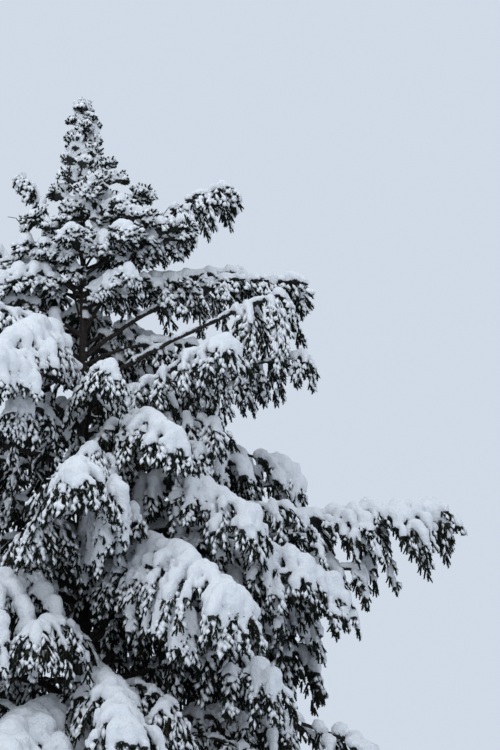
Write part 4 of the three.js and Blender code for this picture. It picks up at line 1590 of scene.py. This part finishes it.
def streak_shape(seed):
    draw = np.random.default_rng(seed)
    bm = bmesh.new()
    lying = Matrix.Rotation(math.pi / 2, 4, "Y")
    bmesh.ops.create_uvsphere(bm, u_segments=3, v_segments=2, radius=1.0, matrix=lying)
    for vertex in bm.verts:
        vertex.co *= draw.uniform(*STREAK_UNEVEN)
    bmesh.ops.scale(bm, verts=bm.verts, vec=STREAK_SIZE)
    bmesh.ops.translate(bm, verts=bm.verts, vec=STREAK_PLACE)
    return arrays_of(bm)


STREAKS = [streak_shape(seed) for seed in STREAK_SEEDS]
print("a streak has", len(STREAKS[0][1]), "faces")

# %% Place snow on shoots or twigs
# how much a streak's length, width and height vary
STREAK_SPREAD = ((0.7, 1.25), (0.55, 1.35), (0.6, 1.3))


def place_snow(name, mine, start, axes, seed):
    draw = np.random.default_rng(seed)
    count = len(mine)
    which = draw.integers(0, len(STREAKS), count)
    sizes = np.stack([draw.uniform(*limits, count) for limits in STREAK_SPREAD], 1)
    sized = axes[mine] * sizes[:, :, None]
    # the streaks and clumps take the paler snow, painted light that lifts them out of the crown's shade
    piece = place_many(name, STREAKS, which, start[mine], sized, np.zeros(count, int), [SNOW_PAINTED_LIGHTER])
    piece.data.shade_smooth()
    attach(piece, "root")
    print(piece.name, triangles(piece.data), "triangles")


def thicker(axes, factors):
    """The same axes with their two thicknesses multiplied."""
    changed = axes.copy()
    changed[:, 1:] *= factors[:, None, None]
    return changed


print("length, width and height of a streak vary by", STREAK_SPREAD)

# %% Streaks of snow
STREAK_PIECES = 4
LAYING_SEED = 31
FIRST_STREAK_SEED = 40
# the share of the shoots that hold a streak, by height, and how much more in front than behind
STREAK_HEIGHTS = (6.0, 8.0, 11.0, 12.5, 14.6)
STREAK_SHARES = (0.44, 0.3, 0.5, 0.8, 0.92)
FRONT_TO_BACK = (-1.5, 1.5)
MORE_IN_FRONT = (1.25, 0.7)
# how much thicker streaks are than their plain shape: low in the crown, and on the stiff shoots of the top
OLD_STREAKS = 1.3
YOUNG_STREAKS = 1.9
STREAK_THICKNESS = 0.02  # for how far the wind pushes them

draw = np.random.default_rng(LAYING_SEED)
streak_share = np.interp(SHOOT_HEIGHT, STREAK_HEIGHTS, STREAK_SHARES)
streak_share *= np.interp(START[:, 1], FRONT_TO_BACK, MORE_IN_FRONT)
snowy = draw.random(len(START)) < streak_share
streak_axes = thicker(AXES, between(OLD_STREAKS, YOUNG_STREAKS, stiffness(START[:, 2])))
for part in range(STREAK_PIECES):
    mine = np.flatnonzero(snowy & (shoot_tier % STREAK_PIECES == part))
    pushed = START + STREAK_THICKNESS * windward(START)
    place_snow(f"snow_streaks_{part + 1}", mine, pushed, streak_axes, FIRST_STREAK_SEED + part)

# %% Clumps of snow
CLUMP_SEED = 50
CLUMP_HEIGHTS = (6.0, 7.0, 11.5, 12.6)
CLUMP_SHARES = (0.7, 0.5, 0.6, 0.9)
CLUMP_THICKNESS = 1.5  # next to a streak
YOUNG_CLUMPS = 1.35

# the generator that chose the laden shoots goes on with the twigs
clump_share = np.interp(TWIGS["height"], CLUMP_HEIGHTS, CLUMP_SHARES)
clumpy = np.flatnonzero(draw.random(len(clump_share)) < clump_share)
clump_axes = shoot_axes(TWIGS["along"], TWIGS["out"], TWIGS["length"], TWIGS["coarse"] * CLUMP_THICKNESS)
clump_axes = thicker(clump_axes, between(1.0, YOUNG_CLUMPS, stiffness(TWIGS["height"])))
place_snow("snow_clumps", clumpy, TWIGS["start"], clump_axes, CLUMP_SEED)
